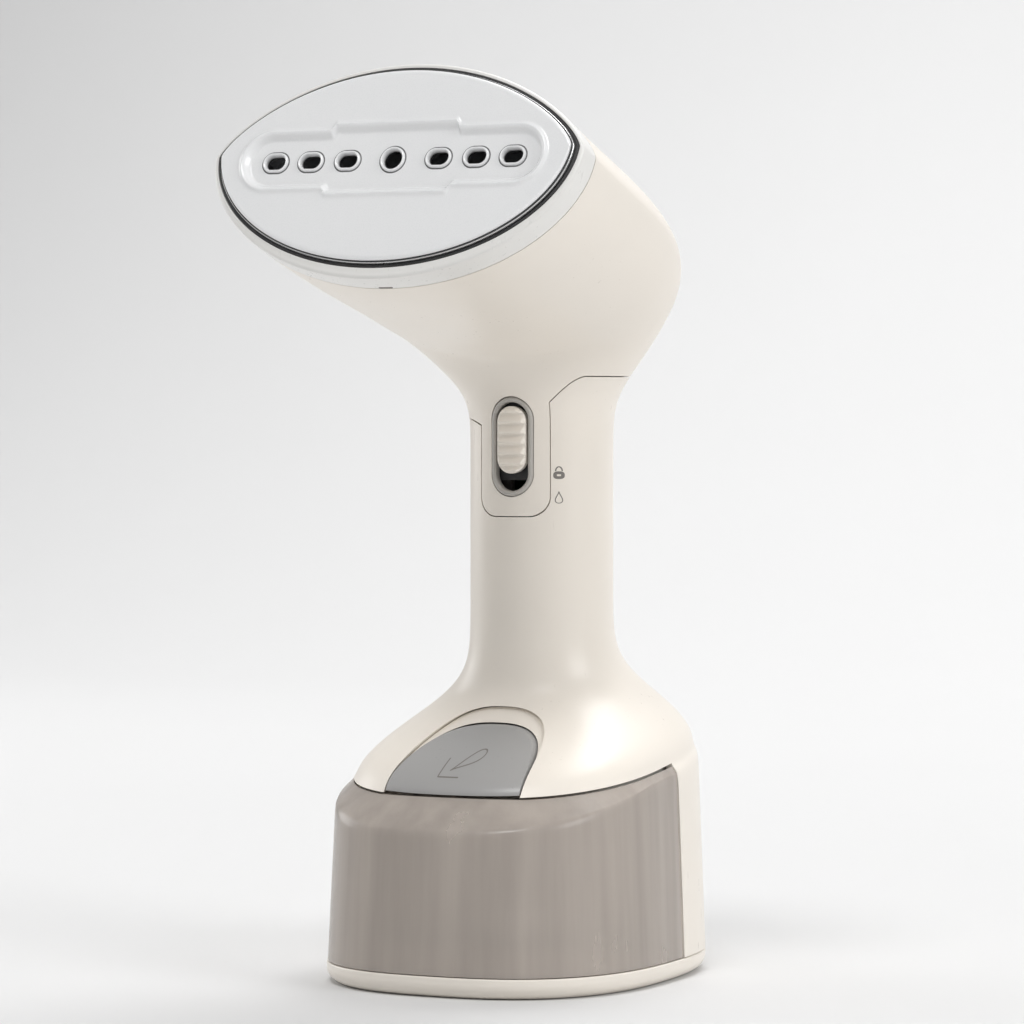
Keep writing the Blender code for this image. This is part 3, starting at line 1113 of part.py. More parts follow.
def main():
    for old in list(bpy.data.objects):
        bpy.data.objects.remove(old)
    base_tray()
    base_fittings()
    main_housing()
    bay_wall()
    cord_fittings()
    tank()
    filler_flap()
    release_button()
    slide_switch()
    head_shell()
    head_bezel()
    steam_plate()
    steam_chamber()
    water_path()
    control_board()
    for piece in bpy.data.objects:
        if piece.hide_render:
            piece.hide_set(True)


main()
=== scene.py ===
# %% [markdown]
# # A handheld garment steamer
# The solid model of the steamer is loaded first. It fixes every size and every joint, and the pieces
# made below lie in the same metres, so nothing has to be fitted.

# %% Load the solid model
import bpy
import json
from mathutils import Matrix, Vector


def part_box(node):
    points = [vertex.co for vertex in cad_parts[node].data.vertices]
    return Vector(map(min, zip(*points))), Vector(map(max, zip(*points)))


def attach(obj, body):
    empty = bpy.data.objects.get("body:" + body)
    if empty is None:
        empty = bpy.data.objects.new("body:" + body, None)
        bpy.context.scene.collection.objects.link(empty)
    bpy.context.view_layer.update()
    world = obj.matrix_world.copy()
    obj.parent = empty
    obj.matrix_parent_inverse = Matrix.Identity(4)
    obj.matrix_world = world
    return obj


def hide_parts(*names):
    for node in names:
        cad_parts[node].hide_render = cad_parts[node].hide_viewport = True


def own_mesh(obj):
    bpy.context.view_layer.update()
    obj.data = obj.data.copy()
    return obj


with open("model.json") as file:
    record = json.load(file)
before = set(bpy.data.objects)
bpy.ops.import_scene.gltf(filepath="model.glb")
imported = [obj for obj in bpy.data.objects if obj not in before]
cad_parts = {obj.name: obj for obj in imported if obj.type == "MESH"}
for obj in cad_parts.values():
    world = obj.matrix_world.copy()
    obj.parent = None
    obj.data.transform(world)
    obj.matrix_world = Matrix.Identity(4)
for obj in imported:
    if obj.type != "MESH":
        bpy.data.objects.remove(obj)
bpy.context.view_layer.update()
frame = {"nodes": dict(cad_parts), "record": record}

import json
import math

import bmesh
import bpy
import numpy as np
from mathutils import Vector

MM = 0.001
TAU = 2 * math.pi

# %% [markdown]
# ## Turning arrays of points into pieces
# Every skin of the steamer is a grid: rows are rings round the body, columns run along it. Blender
# could loft or subdivide such forms by hand, but as an array a whole skin is one formula, and the
# same formula gives its inner wall. A piece is closed by capping its first and last ring, or by
# joining an outer and an inner skin at their ends.

# %% Grids to meshes

def quads(rows, columns, wrap_rows=False):
    """Corner numbers of the quads between neighbouring rows, closed round each row."""
    row = np.arange(rows if wrap_rows else rows - 1)[:, None] * columns
    above = (row + columns) % (rows * columns)
    step = np.arange(columns)[None, :]
    after = (step + 1) % columns
    return np.stack([row + step, row + after, above + after, above + step], axis=-1).reshape(-1, 4)


def add_piece(name, points, faces, caps=()):
    """A mesh object from an array of points, an array of quads and a few larger caps."""
    mesh = bpy.data.meshes.new(name)
    points = np.asarray(points, float).reshape(-1, 3)
    corners = np.concatenate([faces.ravel(), *[np.asarray(cap) for cap in caps]]).astype(np.int32)
    sizes = np.concatenate([np.full(len(faces), 4), [len(cap) for cap in caps]]).astype(np.int32)
    starts = np.concatenate([[0], np.cumsum(sizes)[:-1]]).astype(np.int32)
    mesh.vertices.add(len(points))
    mesh.vertices.foreach_set("co", points.ravel())
    mesh.loops.add(len(corners))
    mesh.loops.foreach_set("vertex_index", corners)
    mesh.polygons.add(len(sizes))
    mesh.polygons.foreach_set("loop_start", starts)
    mesh.update(calc_edges=True)
    mesh.validate()
    piece = bpy.data.objects.new(name, mesh)
    bpy.context.scene.collection.objects.link(piece)
    return piece


def volume(mesh):
    """Signed volume: a sixth of the triple product of each triangle's corners, added up."""
    mesh.calc_loop_triangles()
    corner = np.empty(len(mesh.loop_triangles) * 3, np.int32)
    mesh.loop_triangles.foreach_get("vertices", corner)
    point = np.empty(len(mesh.vertices) * 3)
    mesh.vertices.foreach_get("co", point)
    a, b, c = point.reshape(-1, 3)[corner.reshape(-1, 3)].transpose(1, 0, 2)
    return float(np.einsum("ij,ij->", a, np.cross(b, c)) / 6)


def face_out(piece):
    """Turns every face round if the closed piece is inside out."""
    if volume(piece.data) < 0:
        piece.data.flip_normals()
    return piece


def stack(name, grid):
    """A closed solid from a stack of rings, capped at both ends."""
    rows, columns = grid.shape[:2]
    first = np.arange(columns)[::-1]
    last = (rows - 1) * columns + np.arange(columns)
    return face_out(add_piece(name, grid, quads(rows, columns), (first, last)))


def wall(name, outer, inner):
    """A closed wall: up the outer skin, over the rim, down the inner skin and back."""
    grid = np.concatenate([outer, inner[::-1]])
    return face_out(add_piece(name, grid, quads(*grid.shape[:2], wrap_rows=True)))


def swept(name, grid):
    """A closed ring-shaped piece: a profile carried round a closed path."""
    return face_out(add_piece(name, grid, quads(*grid.shape[:2], wrap_rows=True)))


def offset(grid, distance):
    """A skin moved along its normals: the cross product of its two directions at each point."""
    along = np.gradient(grid, axis=0)
    across = (np.roll(grid, -1, axis=1) - np.roll(grid, 1, axis=1)) / 2
    normal = np.cross(across, along)
    normal /= np.linalg.norm(normal, axis=2, keepdims=True) + 1e-12
    return grid + distance * normal


def prism(name, outline, low, high, axis):
    """A straight bar: a flat outline carried along X, Y or Z."""
    outline = np.asarray(outline, float)
    layers = []
    for level in (low, high):
        column = np.full((len(outline), 1), level)
        layers.append(np.hstack({"X": (column, outline), "Y": (outline[:, :1], column, outline[:, 1:]),
                                 "Z": (outline, column)}[axis]))
    return stack(name, np.array(layers))


def block(name, low, high):
    """A rectangular cutter between two corners."""
    outline = [(low[0], low[1]), (high[0], low[1]), (high[0], high[1]), (low[0], high[1])]
    return prism(name, outline, low[2], high[2], "Z")


def shaped(piece, operation, *tools):
    """Cuts, joins or intersects a piece with its tools, applies the result and drops the tools."""
    for tool in tools:
        change = piece.modifiers.new(tool.name, "BOOLEAN")
        change.operation = operation
        change.object = tool
    graph = bpy.context.evaluated_depsgraph_get()
    made = bpy.data.meshes.new_from_object(piece.evaluated_get(graph))
    piece.modifiers.clear()
    piece.data = made
    for tool in tools:
        bpy.data.objects.remove(tool)
    return piece


def finished(piece, body, replaced=(), angle=32):
    """Smooth shading with sharp edges kept, the body it rides on and the nodes it stands for."""
    piece.data.shade_smooth()
    piece.data.set_sharp_from_angle(angle=math.radians(angle))
    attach(piece, body)
    if replaced:
        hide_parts(*replaced)
    print(f"{piece.name}: {len(piece.data.polygons)} faces, {volume(piece.data) * 1e6:.2f} cm3")
    return piece


print("two neighbouring rows of 200 points are joined by", len(quads(2, 200)), "quads")

# %% [markdown]
# ## Shader maths in Python
# The finishes below mix noises and masks. Written as node links they would be hard to read, so a
# small class wraps a node's output and lets Python's own operators add the Math nodes.

# %% A value that varies over a surface

class Varying:
    """One output socket; + - * with numbers or other values add Math nodes."""

    def __init__(self, tree, socket):
        self.tree = tree
        self.socket = socket

    def maths(self, operation, first, second, clamp=False):
        node = self.tree.nodes.new("ShaderNodeMath")
        node.operation = operation
        node.use_clamp = clamp
        for slot, item in enumerate((first, second)):
            if isinstance(item, Varying):
                self.tree.links.new(item.socket, node.inputs[slot])
            else:
                node.inputs[slot].default_value = item
        return Varying(self.tree, node.outputs[0])

    def __add__(self, other):
        return self.maths("ADD", self, other)

    def __radd__(self, other):
        return self.maths("ADD", other, self)

    def __sub__(self, other):
        return self.maths("SUBTRACT", self, other)

    def __rsub__(self, other):
        return self.maths("SUBTRACT", other, self)

    def __mul__(self, other):
        return self.maths("MULTIPLY", self, other)

    def __rmul__(self, other):
        return self.maths("MULTIPLY", other, self)

    def clamped(self):
        return self.maths("ADD", self, 0.0, clamp=True)

    def above(self, edge, width):
        """0 below the edge and 1 above it, with a soft step of the given width."""
        return ((self - edge) * (1 / width) + 0.5).clamped()


class Finish:
    """A material whose nodes are added by short calls, with object coordinates at hand."""

    def __init__(self, name, **sockets):
        self.material = bpy.data.materials.new(name)
        self.material.use_nodes = True
        self.tree = self.material.node_tree
        self.shader = self.tree.nodes["Principled BSDF"]
        for socket, value in sockets.items():
            self.shader.inputs[socket.replace("_", " ")].default_value = value
        self.place = self.node("ShaderNodeTexCoord", {}, {}, "Object")

    def node(self, kind, settings, inputs, output=0):
        """Adds any node: its settings first, then its sockets' values or links."""
        node = self.tree.nodes.new(kind)
        for setting, value in settings.items():
            setattr(node, setting, value)
        for socket, item in inputs.items():
            if isinstance(item, Varying):
                self.tree.links.new(item.socket, node.inputs[socket])
            else:
                node.inputs[socket].default_value = item
        return Varying(self.tree, node.outputs[output])

    def stretched(self, scale):
        """Object coordinates stretched by a factor along each axis."""
        return self.node("ShaderNodeMapping", {}, {"Vector": self.place, "Scale": scale})

    def noise(self, scale, detail=2.0, vector=None):
        """Soft noise between 0 and 1; the scale is in features per metre."""
        return self.node("ShaderNodeTexNoise", {}, {"Vector": vector or self.place, "Scale": scale,
                                                    "Detail": detail})

    def cells(self, scale, vector=None):
        """Distance to the nearest of many scattered points, for speckle and grain."""
        return self.node("ShaderNodeTexVoronoi", {}, {"Vector": vector or self.place, "Scale": scale})

    def attribute(self, name):
        """A number stored on the mesh."""
        return self.node("ShaderNodeAttribute", {"attribute_name": name}, {}, "Fac")

    def mixed(self, factor, first, second):
        """A colour between two others."""
        return self.node("ShaderNodeMix", {"data_type": "RGBA"}, {0: factor, 6: first, 7: second}, 2)

    def bump(self, height, distance, strength=1.0):
        """A normal tilted by a height; the distance is the height's scale in metres."""
        return self.node("ShaderNodeBump", {}, {"Height": height, "Distance": distance,
                                                "Strength": strength})

    def set(self, **links):
        """Feeds the shader's own sockets."""
        for socket, item in links.items():
            self.tree.links.new(item.socket, self.shader.inputs[socket.replace("_", " ")])
        return self.material


def shade(colour, factor):
    """A colour made lighter or darker, with full opacity."""
    return (*[min(1.0, part * factor) for part in colour], 1.0)


print("mid grey a tenth lighter:", shade((0.5, 0.5, 0.5), 1.1))

# %% [markdown]
# ## Finishes
# The shells of a steamer are injection-moulded ABS: a satin surface with a fine spark-eroded grain,
# faint flow clouds, and a few rubbed patches where the gloss is higher. One recipe with different
# colours and grain serves all of them.

# %% Moulded plastics

def moulded(name, colour, roughness, grain=0.00001, cloud=0.02, **more):
    """Cloudy colour, patchy gloss and a fine grain, for moulded pieces."""
    finish = Finish(name, Roughness=roughness, **more)
    clouds = finish.noise(18, 3)
    patches = finish.noise(55, 4)
    specks = finish.cells(2200)
    fine = finish.noise(5200, 2)
    scratches = finish.noise(160, 6, finish.stretched((6, 6, 0.6)))
    rubbed = scratches.above(0.66, 0.1)
    tint = finish.mixed(clouds.above(0.5, 0.5), shade(colour, 1 - cloud), shade(colour, 1 + cloud))
    gloss = roughness + (patches - 0.5) * 0.14 - rubbed * 0.08
    height = fine * 0.6 + specks * 0.4
    return finish.set(Base_Color=tint, Roughness=gloss.clamped(), Normal=finish.bump(height, grain))


cream = moulded("cream_satin", (0.845, 0.79, 0.715), 0.36)
cool_white = moulded("cool_white_satin", (0.80, 0.79, 0.765), 0.32, cloud=0.015)
warm_grey = moulded("warm_grey_satin", (0.36, 0.355, 0.35), 0.36, grain=0.000014)
bezel_grey = moulded("bezel_grey", (0.44, 0.42, 0.39), 0.30)
inner_white = moulded("inner_white", (0.62, 0.60, 0.56), 0.5, grain=0.00002, cloud=0.03)
black_moulded = moulded("black_moulded", (0.025, 0.025, 0.026), 0.45, grain=0.00002)
milky = moulded("milky_silicone", (0.62, 0.60, 0.56), 0.42, cloud=0.03)
# grey ink for the printed signs, also painted shade for the pry slot
ink_and_slot_shade = moulded("grey_ink_and_slot_shade", (0.20, 0.185, 0.17), 0.5, cloud=0.05)
# painted shade: a dark grey for the shadow in the groove round the foot of each steam lip
painted_groove_shade = moulded("painted_groove_shadow", (0.13, 0.13, 0.135), 0.45, cloud=0.08)
print("moulded finishes made")

# %% [markdown]
# The steam plate carries a ceramic glaze over metal: it is smooth and bright, with an orange-peel
# waviness too shallow to see except in reflections. Inside the steam holes its colour is painted
# near-black, as painted shade where no light gets in. The mesh marks the points that lie deep in a hole.

# %% Glaze, metals and rubber

def glazed():
    finish = Finish("plate_glaze", Metallic=0.0, Roughness=0.2, Coat_Weight=0.5, Coat_Roughness=0.08)
    # painted shade: the glaze's colour turns near-black on points deep in the steam holes
    painted_hole_shade = finish.attribute("painted_hole_shade").above(0.5, 0.5)
    clouds = finish.noise(25, 3)
    peel = finish.noise(420, 2)
    flecks = finish.cells(3200).above(0.62, 0.2)
    face = finish.mixed(clouds.above(0.5, 0.6), (0.84, 0.845, 0.85, 1), (0.87, 0.873, 0.876, 1))
    speckled = finish.mixed(flecks * 0.2, face, (0.74, 0.75, 0.76, 1))
    colour = finish.mixed(painted_hole_shade, speckled, (0.012, 0.012, 0.013, 1))
    gloss = 0.2 + finish.noise(90, 4) * 0.08 + painted_hole_shade * 0.5
    return finish.set(Base_Color=colour, Roughness=gloss.clamped(), Normal=finish.bump(peel, 0.00002))


def metal(name, colour, roughness, stretch=(1, 1, 1), grain=0.00001):
    """Bare metal: fine marks drawn out along one direction, and patchy gloss."""
    finish = Finish(name, Metallic=1.0, Roughness=roughness)
    marks = finish.noise(900, 5, finish.stretched(stretch))
    stain = finish.noise(60, 4)
    tint = finish.mixed(stain.above(0.5, 0.5), shade(colour, 0.93), shade(colour, 1.05))
    gloss = roughness + (marks - 0.5) * 0.2 + (stain - 0.5) * 0.1
    return finish.set(Base_Color=tint, Roughness=gloss.clamped(), Normal=finish.bump(marks, grain))


def rubbery():
    finish = Finish("black_rubber", Roughness=0.7, Sheen_Weight=0.1)
    dust = finish.noise(140, 5).above(0.6, 0.2)
    tint = finish.mixed(dust * 0.3, (0.03, 0.03, 0.031, 1), (0.12, 0.115, 0.11, 1))
    gloss = 0.62 + dust * 0.2
    grain = finish.bump(finish.noise(3000), 0.00002)
    return finish.set(Base_Color=tint, Roughness=gloss.clamped(), Normal=grain)


def green_board():
    """Solder mask with copper runs: bands of a stretched cell pattern stand for the tracks."""
    finish = Finish("green_board", Roughness=0.35)
    tracks = finish.cells(260, finish.stretched((1, 1, 0.25))).above(0.45, 0.05)
    tint = finish.mixed(tracks, (0.02, 0.14, 0.06, 1), (0.03, 0.20, 0.09, 1))
    gloss = 0.3 + finish.noise(300) * 0.15
    return finish.set(Base_Color=tint, Roughness=gloss, Normal=finish.bump(tracks, 0.00004))


plate_glaze = glazed()
bright_steel = metal("bright_steel", (0.62, 0.62, 0.63), 0.28, (1, 1, 8))
cast_metal = metal("cast_aluminium", (0.55, 0.56, 0.57), 0.48, grain=0.00006)
edge_steel = metal("plate_edge_steel", (0.66, 0.66, 0.66), 0.3, (1, 1, 10))
rubber = rubbery()
board_green = green_board()
print("metals, glaze and rubber made")

# %% [markdown]
# The tank is smoky polycarbonate. Light goes through it, so the shader transmits, with a grey-brown
# tint and enough roughness for the satin look of a moulded wall; a share of plain diffuse colour
# stands for the haze of scale and fine scratches inside it.

# %% Smoky tank

def smoky(name, colour, through):
    finish = Finish(name, Transmission_Weight=through, IOR=1.33, Roughness=0.22)
    clouds = finish.noise(30, 3)
    haze = finish.noise(1400, 3)
    streaks = finish.noise(26, 4, finish.stretched((5, 5, 0.25)))
    tint = finish.mixed(streaks.above(0.5, 0.4), shade(colour, 0.9), shade(colour, 1.1))
    gloss = 0.17 + clouds * 0.08 + streaks * 0.08
    return finish.set(Base_Color=tint, Roughness=gloss.clamped(), Normal=finish.bump(haze, 0.000006))


smoke = smoky("smoky_tank", (0.62, 0.555, 0.50), 0.4)
print("tank finish made")

# %% [markdown]
# Every node of the solid model that stays visible gets one of these finishes through its slot.

# %% Finishes for the nodes that stay

finish_of_slot = {
    "cream_plastic": cream, "bezel_plastic": cool_white, "grey_plastic": warm_grey, "smoke_plastic": smoke,
    "plate_glaze": plate_glaze, "cast_aluminium": cast_metal, "steel": bright_steel, "rubber": rubber,
    "silicone": milky, "inner_plastic": inner_white, "black_plastic": black_moulded, "board": board_green,
}
slot_of_node = {part["node"]: part["material_slot"] for part in frame["record"]["subparts"]}
for node, piece in frame["nodes"].items():
    piece.data.materials.clear()
    piece.data.materials.append(finish_of_slot[slot_of_node[node]])
print(len(slot_of_node), "nodes finished")

# %% [markdown]
# ## The forms
# The base is a rounded square whose wall leans in a little. Over the tank it flares into the round
# handle, and the head bends forward out of the handle like a horn. The sizes are those of the solid
# model, so each skin below covers its node.

# %% Sizes

WALL = 2.2 * MM
GAP = 0.3 * MM
BASE_HALF_WIDTH, BASE_HALF_LENGTH, BASE_SQUARENESS = 50.8 * MM, 61.5 * MM, 2.6
RIM_HEIGHT, RIM_ROUND, TRAY_FLOOR = 6.2 * MM, 5.0 * MM, 3.4 * MM
TOP_HEIGHT, TOP_SLOPE, WALL_LEAN = 56.6 * MM, 0.13, 2.1 * MM
EDGE_HEIGHT, EDGE_SLOPE, BEVEL_LEAST = 46.5 * MM, 0.24, 3.0 * MM
BEVEL_FRONT, BEVEL_SIDE, BEVEL_BACK = 11.5 * MM, 2.6 * MM, 0.8 * MM
TANK_BACK, TANK_RECESS, TANK_WALL = 8.0 * MM, 0.3 * MM, 2.0 * MM
HANDLE_Y, HANDLE_RADIUS = 16.5 * MM, 21.6 * MM
FLARE_TOP, NECK_HEIGHT = 110 * MM, 171.8 * MM
FLARE_WIDTH_POWER, FLARE_FRONT_POWER, FLARE_BACK_POWER = 2.4, 5.2, 1.4
PLATE_TILT, PLATE_Y, PLATE_Z, TIP_RISE = math.radians(21.1), -83.3 * MM, 238.7 * MM, 2.6 * MM
RIM_HALF_WIDTH, RIM_UP, RIM_DOWN, RIM_BACK = 58.1 * MM, 27.6 * MM, 38.2 * MM, 3.0 * MM
UPPER_POINT, LOWER_POINT = 1.5, 1.08
HEAD_REACH, NECK_REACH, BEZEL_DEPTH = 62.7 * MM, 45.5 * MM, 7.5 * MM
HEAD_WIDTH_POWER, HEAD_DEPTH_POWER = 3.75, 1.15
PLATE_HALF_WIDTH, PLATE_UP, PLATE_DOWN, PLATE_THICK = 54.8 * MM, 24.6 * MM, 33.6 * MM, 3.2 * MM
TONGUE_HALF_WIDTH, TONGUE_BOTTOM, TONGUE_ROUND = 11.2 * MM, 136.8 * MM, 6 * MM
SEAM_FRONT, SEAM_SIDE, SEAM_TILT = 167.4 * MM, 172.0 * MM, 0.3
SWITCH_Z, SWITCH_WIDTH, SWITCH_HEIGHT, SWITCH_RIM = 157.5 * MM, 13.6 * MM, 29.6 * MM, 1.6 * MM
BUTTON_HALF_WIDTH, BUTTON_TOP, BUTTON_SQUARENESS, SCOOP_RISE = 21.5 * MM, 75.5 * MM, 2.5, 4.5 * MM
SEAM = RIM_HEIGHT + GAP
BASE_FRONT, BASE_BACK = -BASE_HALF_LENGTH, BASE_HALF_LENGTH
TOP_FRONT = BASE_FRONT + WALL_LEAN + BEVEL_FRONT
FACE_Y = HANDLE_Y - HANDLE_RADIUS
BACKWARD = np.array((0, math.cos(PLATE_TILT), -math.sin(PLATE_TILT)))
BODY, TANK, BUTTON, SWITCH, FLAP = "body", "tank", "button", "switch", "flap"
AROUND = 200
turn = np.linspace(0, TAU, AROUND, endpoint=False)
print("handle", round(2 * HANDLE_RADIUS / MM, 1), "mm thick")

# %% Base, flare and handle

def oval(half_width, front, back, squareness, angle=turn):
    """Rounded square: cosine and sine are raised to the power 2/n, which squares the circle off."""
    across, ahead = np.cos(angle), np.sin(angle)
    x = half_width * np.sign(across) * np.abs(across) ** (2 / squareness)
    reach = np.sign(ahead) * np.abs(ahead) ** (2 / squareness)
    return x, (front + back) / 2 + (back - front) / 2 * reach


def rings(x, y, z):
    """Stacks coordinate arrays into a grid of points."""
    return np.stack(np.broadcast_arrays(x, y, z), axis=-1)


def level_rings(inset, height):
    """Level rings of the base; each is drawn in by its inset."""
    inset, height = (np.asarray(item, float)[..., None] for item in (inset, height))
    x, y = oval(BASE_HALF_WIDTH - inset, BASE_FRONT + inset, BASE_BACK - inset, BASE_SQUARENESS)
    return rings(x, y, height)


def under_edge(y):
    """Height of the housing's sloping lower edge over the tank."""
    return TOP_HEIGHT + TOP_SLOPE * (y - TOP_FRONT)


def wall_rings(inset, part):
    """Rings of the leaning wall from its foot (0) to the bevel's lower edge (1), which rises
    backwards until it runs just under the housing's edge."""
    grid = level_rings(inset + WALL_LEAN * part, SEAM + 0 * part)
    rising = EDGE_HEIGHT + EDGE_SLOPE * (grid[..., 1] - BASE_FRONT)
    edge = np.minimum(rising, under_edge(grid[..., 1]) - BEVEL_LEAST)
    grid[..., 2] += (edge - SEAM) * part[:, None]
    return grid


def flare_sizes(part):
    """Half width, front, back and squareness of the flare: a cosine eases each from base to handle."""
    ease = (1 + np.cos(math.pi * part)) / 2
    width = BASE_HALF_WIDTH - WALL_LEAN - BEVEL_SIDE
    back = BASE_BACK - WALL_LEAN - BEVEL_BACK
    return (HANDLE_RADIUS + (width - HANDLE_RADIUS) * ease**FLARE_WIDTH_POWER,
            FACE_Y + (TOP_FRONT - FACE_Y) * ease**FLARE_FRONT_POWER,
            HANDLE_Y + HANDLE_RADIUS + (back - HANDLE_Y - HANDLE_RADIUS) * ease**FLARE_BACK_POWER,
            2 + (BASE_SQUARENESS - 2) * ease)


def flare_rings(part):
    """Rings of the flare from the tank's top (0) to the foot of the handle (1)."""
    part = np.asarray(part, float)[:, None]
    x, y = oval(*flare_sizes(part))
    height = TOP_HEIGHT + (FLARE_TOP - TOP_HEIGHT) * part
    return rings(x, y, height + TOP_SLOPE * (1 - part) * (y - TOP_FRONT))


def flare_front(x, z):
    """Depth of the flare's front at a place in the front view, found by repeated substitution."""
    y = np.full(np.broadcast(x, z).shape, -0.03)
    for _ in range(40):
        rise = TOP_HEIGHT + TOP_SLOPE * (y - TOP_FRONT)
        part = np.clip((z - rise) / (FLARE_TOP - rise), 0, 1)
        width, front, back, squareness = flare_sizes(part)
        inside = np.clip(1 - (np.abs(x) / width) ** squareness, 0, 1) ** (1 / squareness)
        y = 0.5 * y + 0.5 * ((front + back) / 2 - (back - front) / 2 * inside)
    return y


def handle_rings(height):
    """Rings of the round handle."""
    x, y = oval(HANDLE_RADIUS, FACE_Y, HANDLE_Y + HANDLE_RADIUS, 2)
    return rings(x, y, np.asarray(height, float)[:, None])


def soften(grid, times, first=0, last=None):
    """Rounds creases between rings: each ring moves to the mean of itself and its neighbours."""
    grid = grid.copy()
    stretch = slice(first + 1, (last or len(grid)) - 1)
    for _ in range(times):
        mean = (grid[:-2] + 2 * grid[1:-1] + grid[2:]) / 4
        grid[stretch] = mean[first:first + len(grid[stretch])]
    return grid


def between(first, last, count):
    """Straight rings from one ring to another, without the last one."""
    part = np.linspace(0, 1, count, endpoint=False)[:, None, None]
    return first + (last - first) * part


lean = np.linspace(0, 1, 24)
wall_grid = wall_rings(0.0, lean)
flare_grid = flare_rings(np.linspace(0, 1, 60))
print("flare front at the button's middle:", round(float(flare_front(0.0, 0.066)) / MM, 1), "mm")

# %% [markdown]
# The head's rings stand square to a curved line. It starts straight back from the plate and ends
# straight down in the handle: a cubic curve with those two directions. Along it, each ring changes
# from the plate's pointed eye to the handle's circle.

# %% Head

def plate_point(across, up, out):
    """World place of a point given in the plate's directions: across, up the face, out of it."""
    y = PLATE_Y + up * math.sin(PLATE_TILT) - out * math.cos(PLATE_TILT)
    return rings(across, y, PLATE_Z + up * math.cos(PLATE_TILT) + out * math.sin(PLATE_TILT))


def bow(up, down, upper, lower, angle=turn):
    """Height of an eye-shaped outline: a power of the sine, sharper as the power grows."""
    rise = np.sin(angle)
    return np.where(rise > 0, up * np.abs(rise) ** upper, -down * np.abs(rise) ** lower)


def eye_rings(inset, out, angle=turn):
    """Rings round the steam plate, drawn in by the inset, at a distance out of its face."""
    inset, out = np.asarray(inset, float)[:, None], np.asarray(out, float)[:, None]
    x = (PLATE_HALF_WIDTH - inset * 1.25) * np.cos(angle)
    rise = bow(PLATE_UP - inset, PLATE_DOWN - inset, UPPER_POINT, LOWER_POINT, angle)
    return plate_point(x, TIP_RISE + rise, out)


def head_rings(part, inset=0.0):
    """Rings of the head from the rim (0) to the neck (1), drawn in by the inset."""
    part = np.asarray(part, float)[:, None]
    rest = 1 - part
    start = plate_point(0.0, TIP_RISE, -RIM_BACK)[1:]
    end = np.array((HANDLE_Y, NECK_HEIGHT))
    first = start + BACKWARD[1:] * HEAD_REACH
    second = end + np.array((0.0, NECK_REACH))
    place = rest**3 * start + 3 * rest**2 * part * first + 3 * rest * part**2 * second + part**3 * end
    ahead = rest**2 * (first - start) + 2 * rest * part * (second - first) + part**2 * (end - second)
    ahead /= np.linalg.norm(ahead, axis=1, keepdims=True)
    width = HANDLE_RADIUS + (RIM_HALF_WIDTH - HANDLE_RADIUS) * (1 - part**HEAD_WIDTH_POWER) - inset
    high = HANDLE_RADIUS + (RIM_UP - HANDLE_RADIUS) * (1 - part**HEAD_DEPTH_POWER) - inset
    low = HANDLE_RADIUS + (RIM_DOWN - HANDLE_RADIUS) * (1 - part**HEAD_DEPTH_POWER) - inset
    pointed = rest**1.5
    rise = bow(high, low, 1 + (UPPER_POINT - 1) * pointed, 1 + (LOWER_POINT - 1) * pointed)
    return rings(width * np.cos(turn), place[:, :1] - rise * ahead[:, 1:],
                 place[:, 1:] + rise * ahead[:, :1])


def head_share(distance):
    """Share of the head's line that lies within a distance of the rim."""
    return distance / (3 * HEAD_REACH)


rim_middle, neck_middle = head_rings([0.0, 1.0]).mean(axis=1)
print("rim to neck:", round(float(np.linalg.norm(rim_middle - neck_middle)) / MM, 1), "mm")

# %% [markdown]
# ## Seam between head and handle
# The head's tongue runs down the handle's front round the switch. Both shells are cut with one
# outline, seen from the front: a U with a shoulder on each side, tilted a little to one side.

# %% Seam cutters

def seam_outline(clearance, level):
    """Outline of the seam with its tongue, closed off at a level above or below it."""
    half, bottom = TONGUE_HALF_WIDTH + clearance, TONGUE_BOTTOM - clearance
    quarter = np.linspace(0, math.pi / 2, 16)
    corner = np.column_stack([half - TONGUE_ROUND * (1 - np.cos(quarter)),
                              bottom + TONGUE_ROUND * (1 - np.sin(quarter))])
    part = np.linspace(1, 0, 16)
    rise = SEAM_FRONT + (SEAM_SIDE - SEAM_FRONT) * np.sin(part * math.pi / 2) - clearance
    shoulder = np.column_stack([half + (HANDLE_RADIUS - half) * part, rise])
    edge = [(RIM_HALF_WIDTH, level), (RIM_HALF_WIDTH, SEAM_SIDE - clearance)]
    right = np.vstack([edge, shoulder, corner])
    outline = np.vstack([right, right[::-1] * (-1, 1)])
    tilted = np.clip(outline[:, 0], -HANDLE_RADIUS, HANDLE_RADIUS) * SEAM_TILT
    on_seam = (outline[:, 1] > SEAM_FRONT - 2 * MM) & (outline[:, 1] != level)
    outline[:, 1] += np.where(on_seam, tilted, 0)
    return outline


def seam_cutters(clearance, level):
    """Cutters for the front and the back half of the seam."""
    wide, side, tilt = RIM_HALF_WIDTH, SEAM_SIDE - clearance, SEAM_TILT * HANDLE_RADIUS
    back = [(-wide, level), (wide, level), (wide, side + tilt), (HANDLE_RADIUS, side + tilt),
            (-HANDLE_RADIUS, side - tilt), (-wide, side - tilt)]
    return (prism("seam_front", seam_outline(clearance, level), HANDLE_Y - wide, HANDLE_Y, "Y"),
            prism("seam_back", back, HANDLE_Y - MM, HANDLE_Y + wide, "Y"))


def slot_outline(width, height, middle, count=48):
    """An upright slot with round ends: two half circles moved apart."""
    angle = np.linspace(0, TAU, count, endpoint=False)
    radius = width / 2
    reach = (height / 2 - radius) * np.where(np.sin(angle) >= 0, 1, -1)
    return np.column_stack([radius * np.cos(angle), middle + reach + radius * np.sin(angle)])


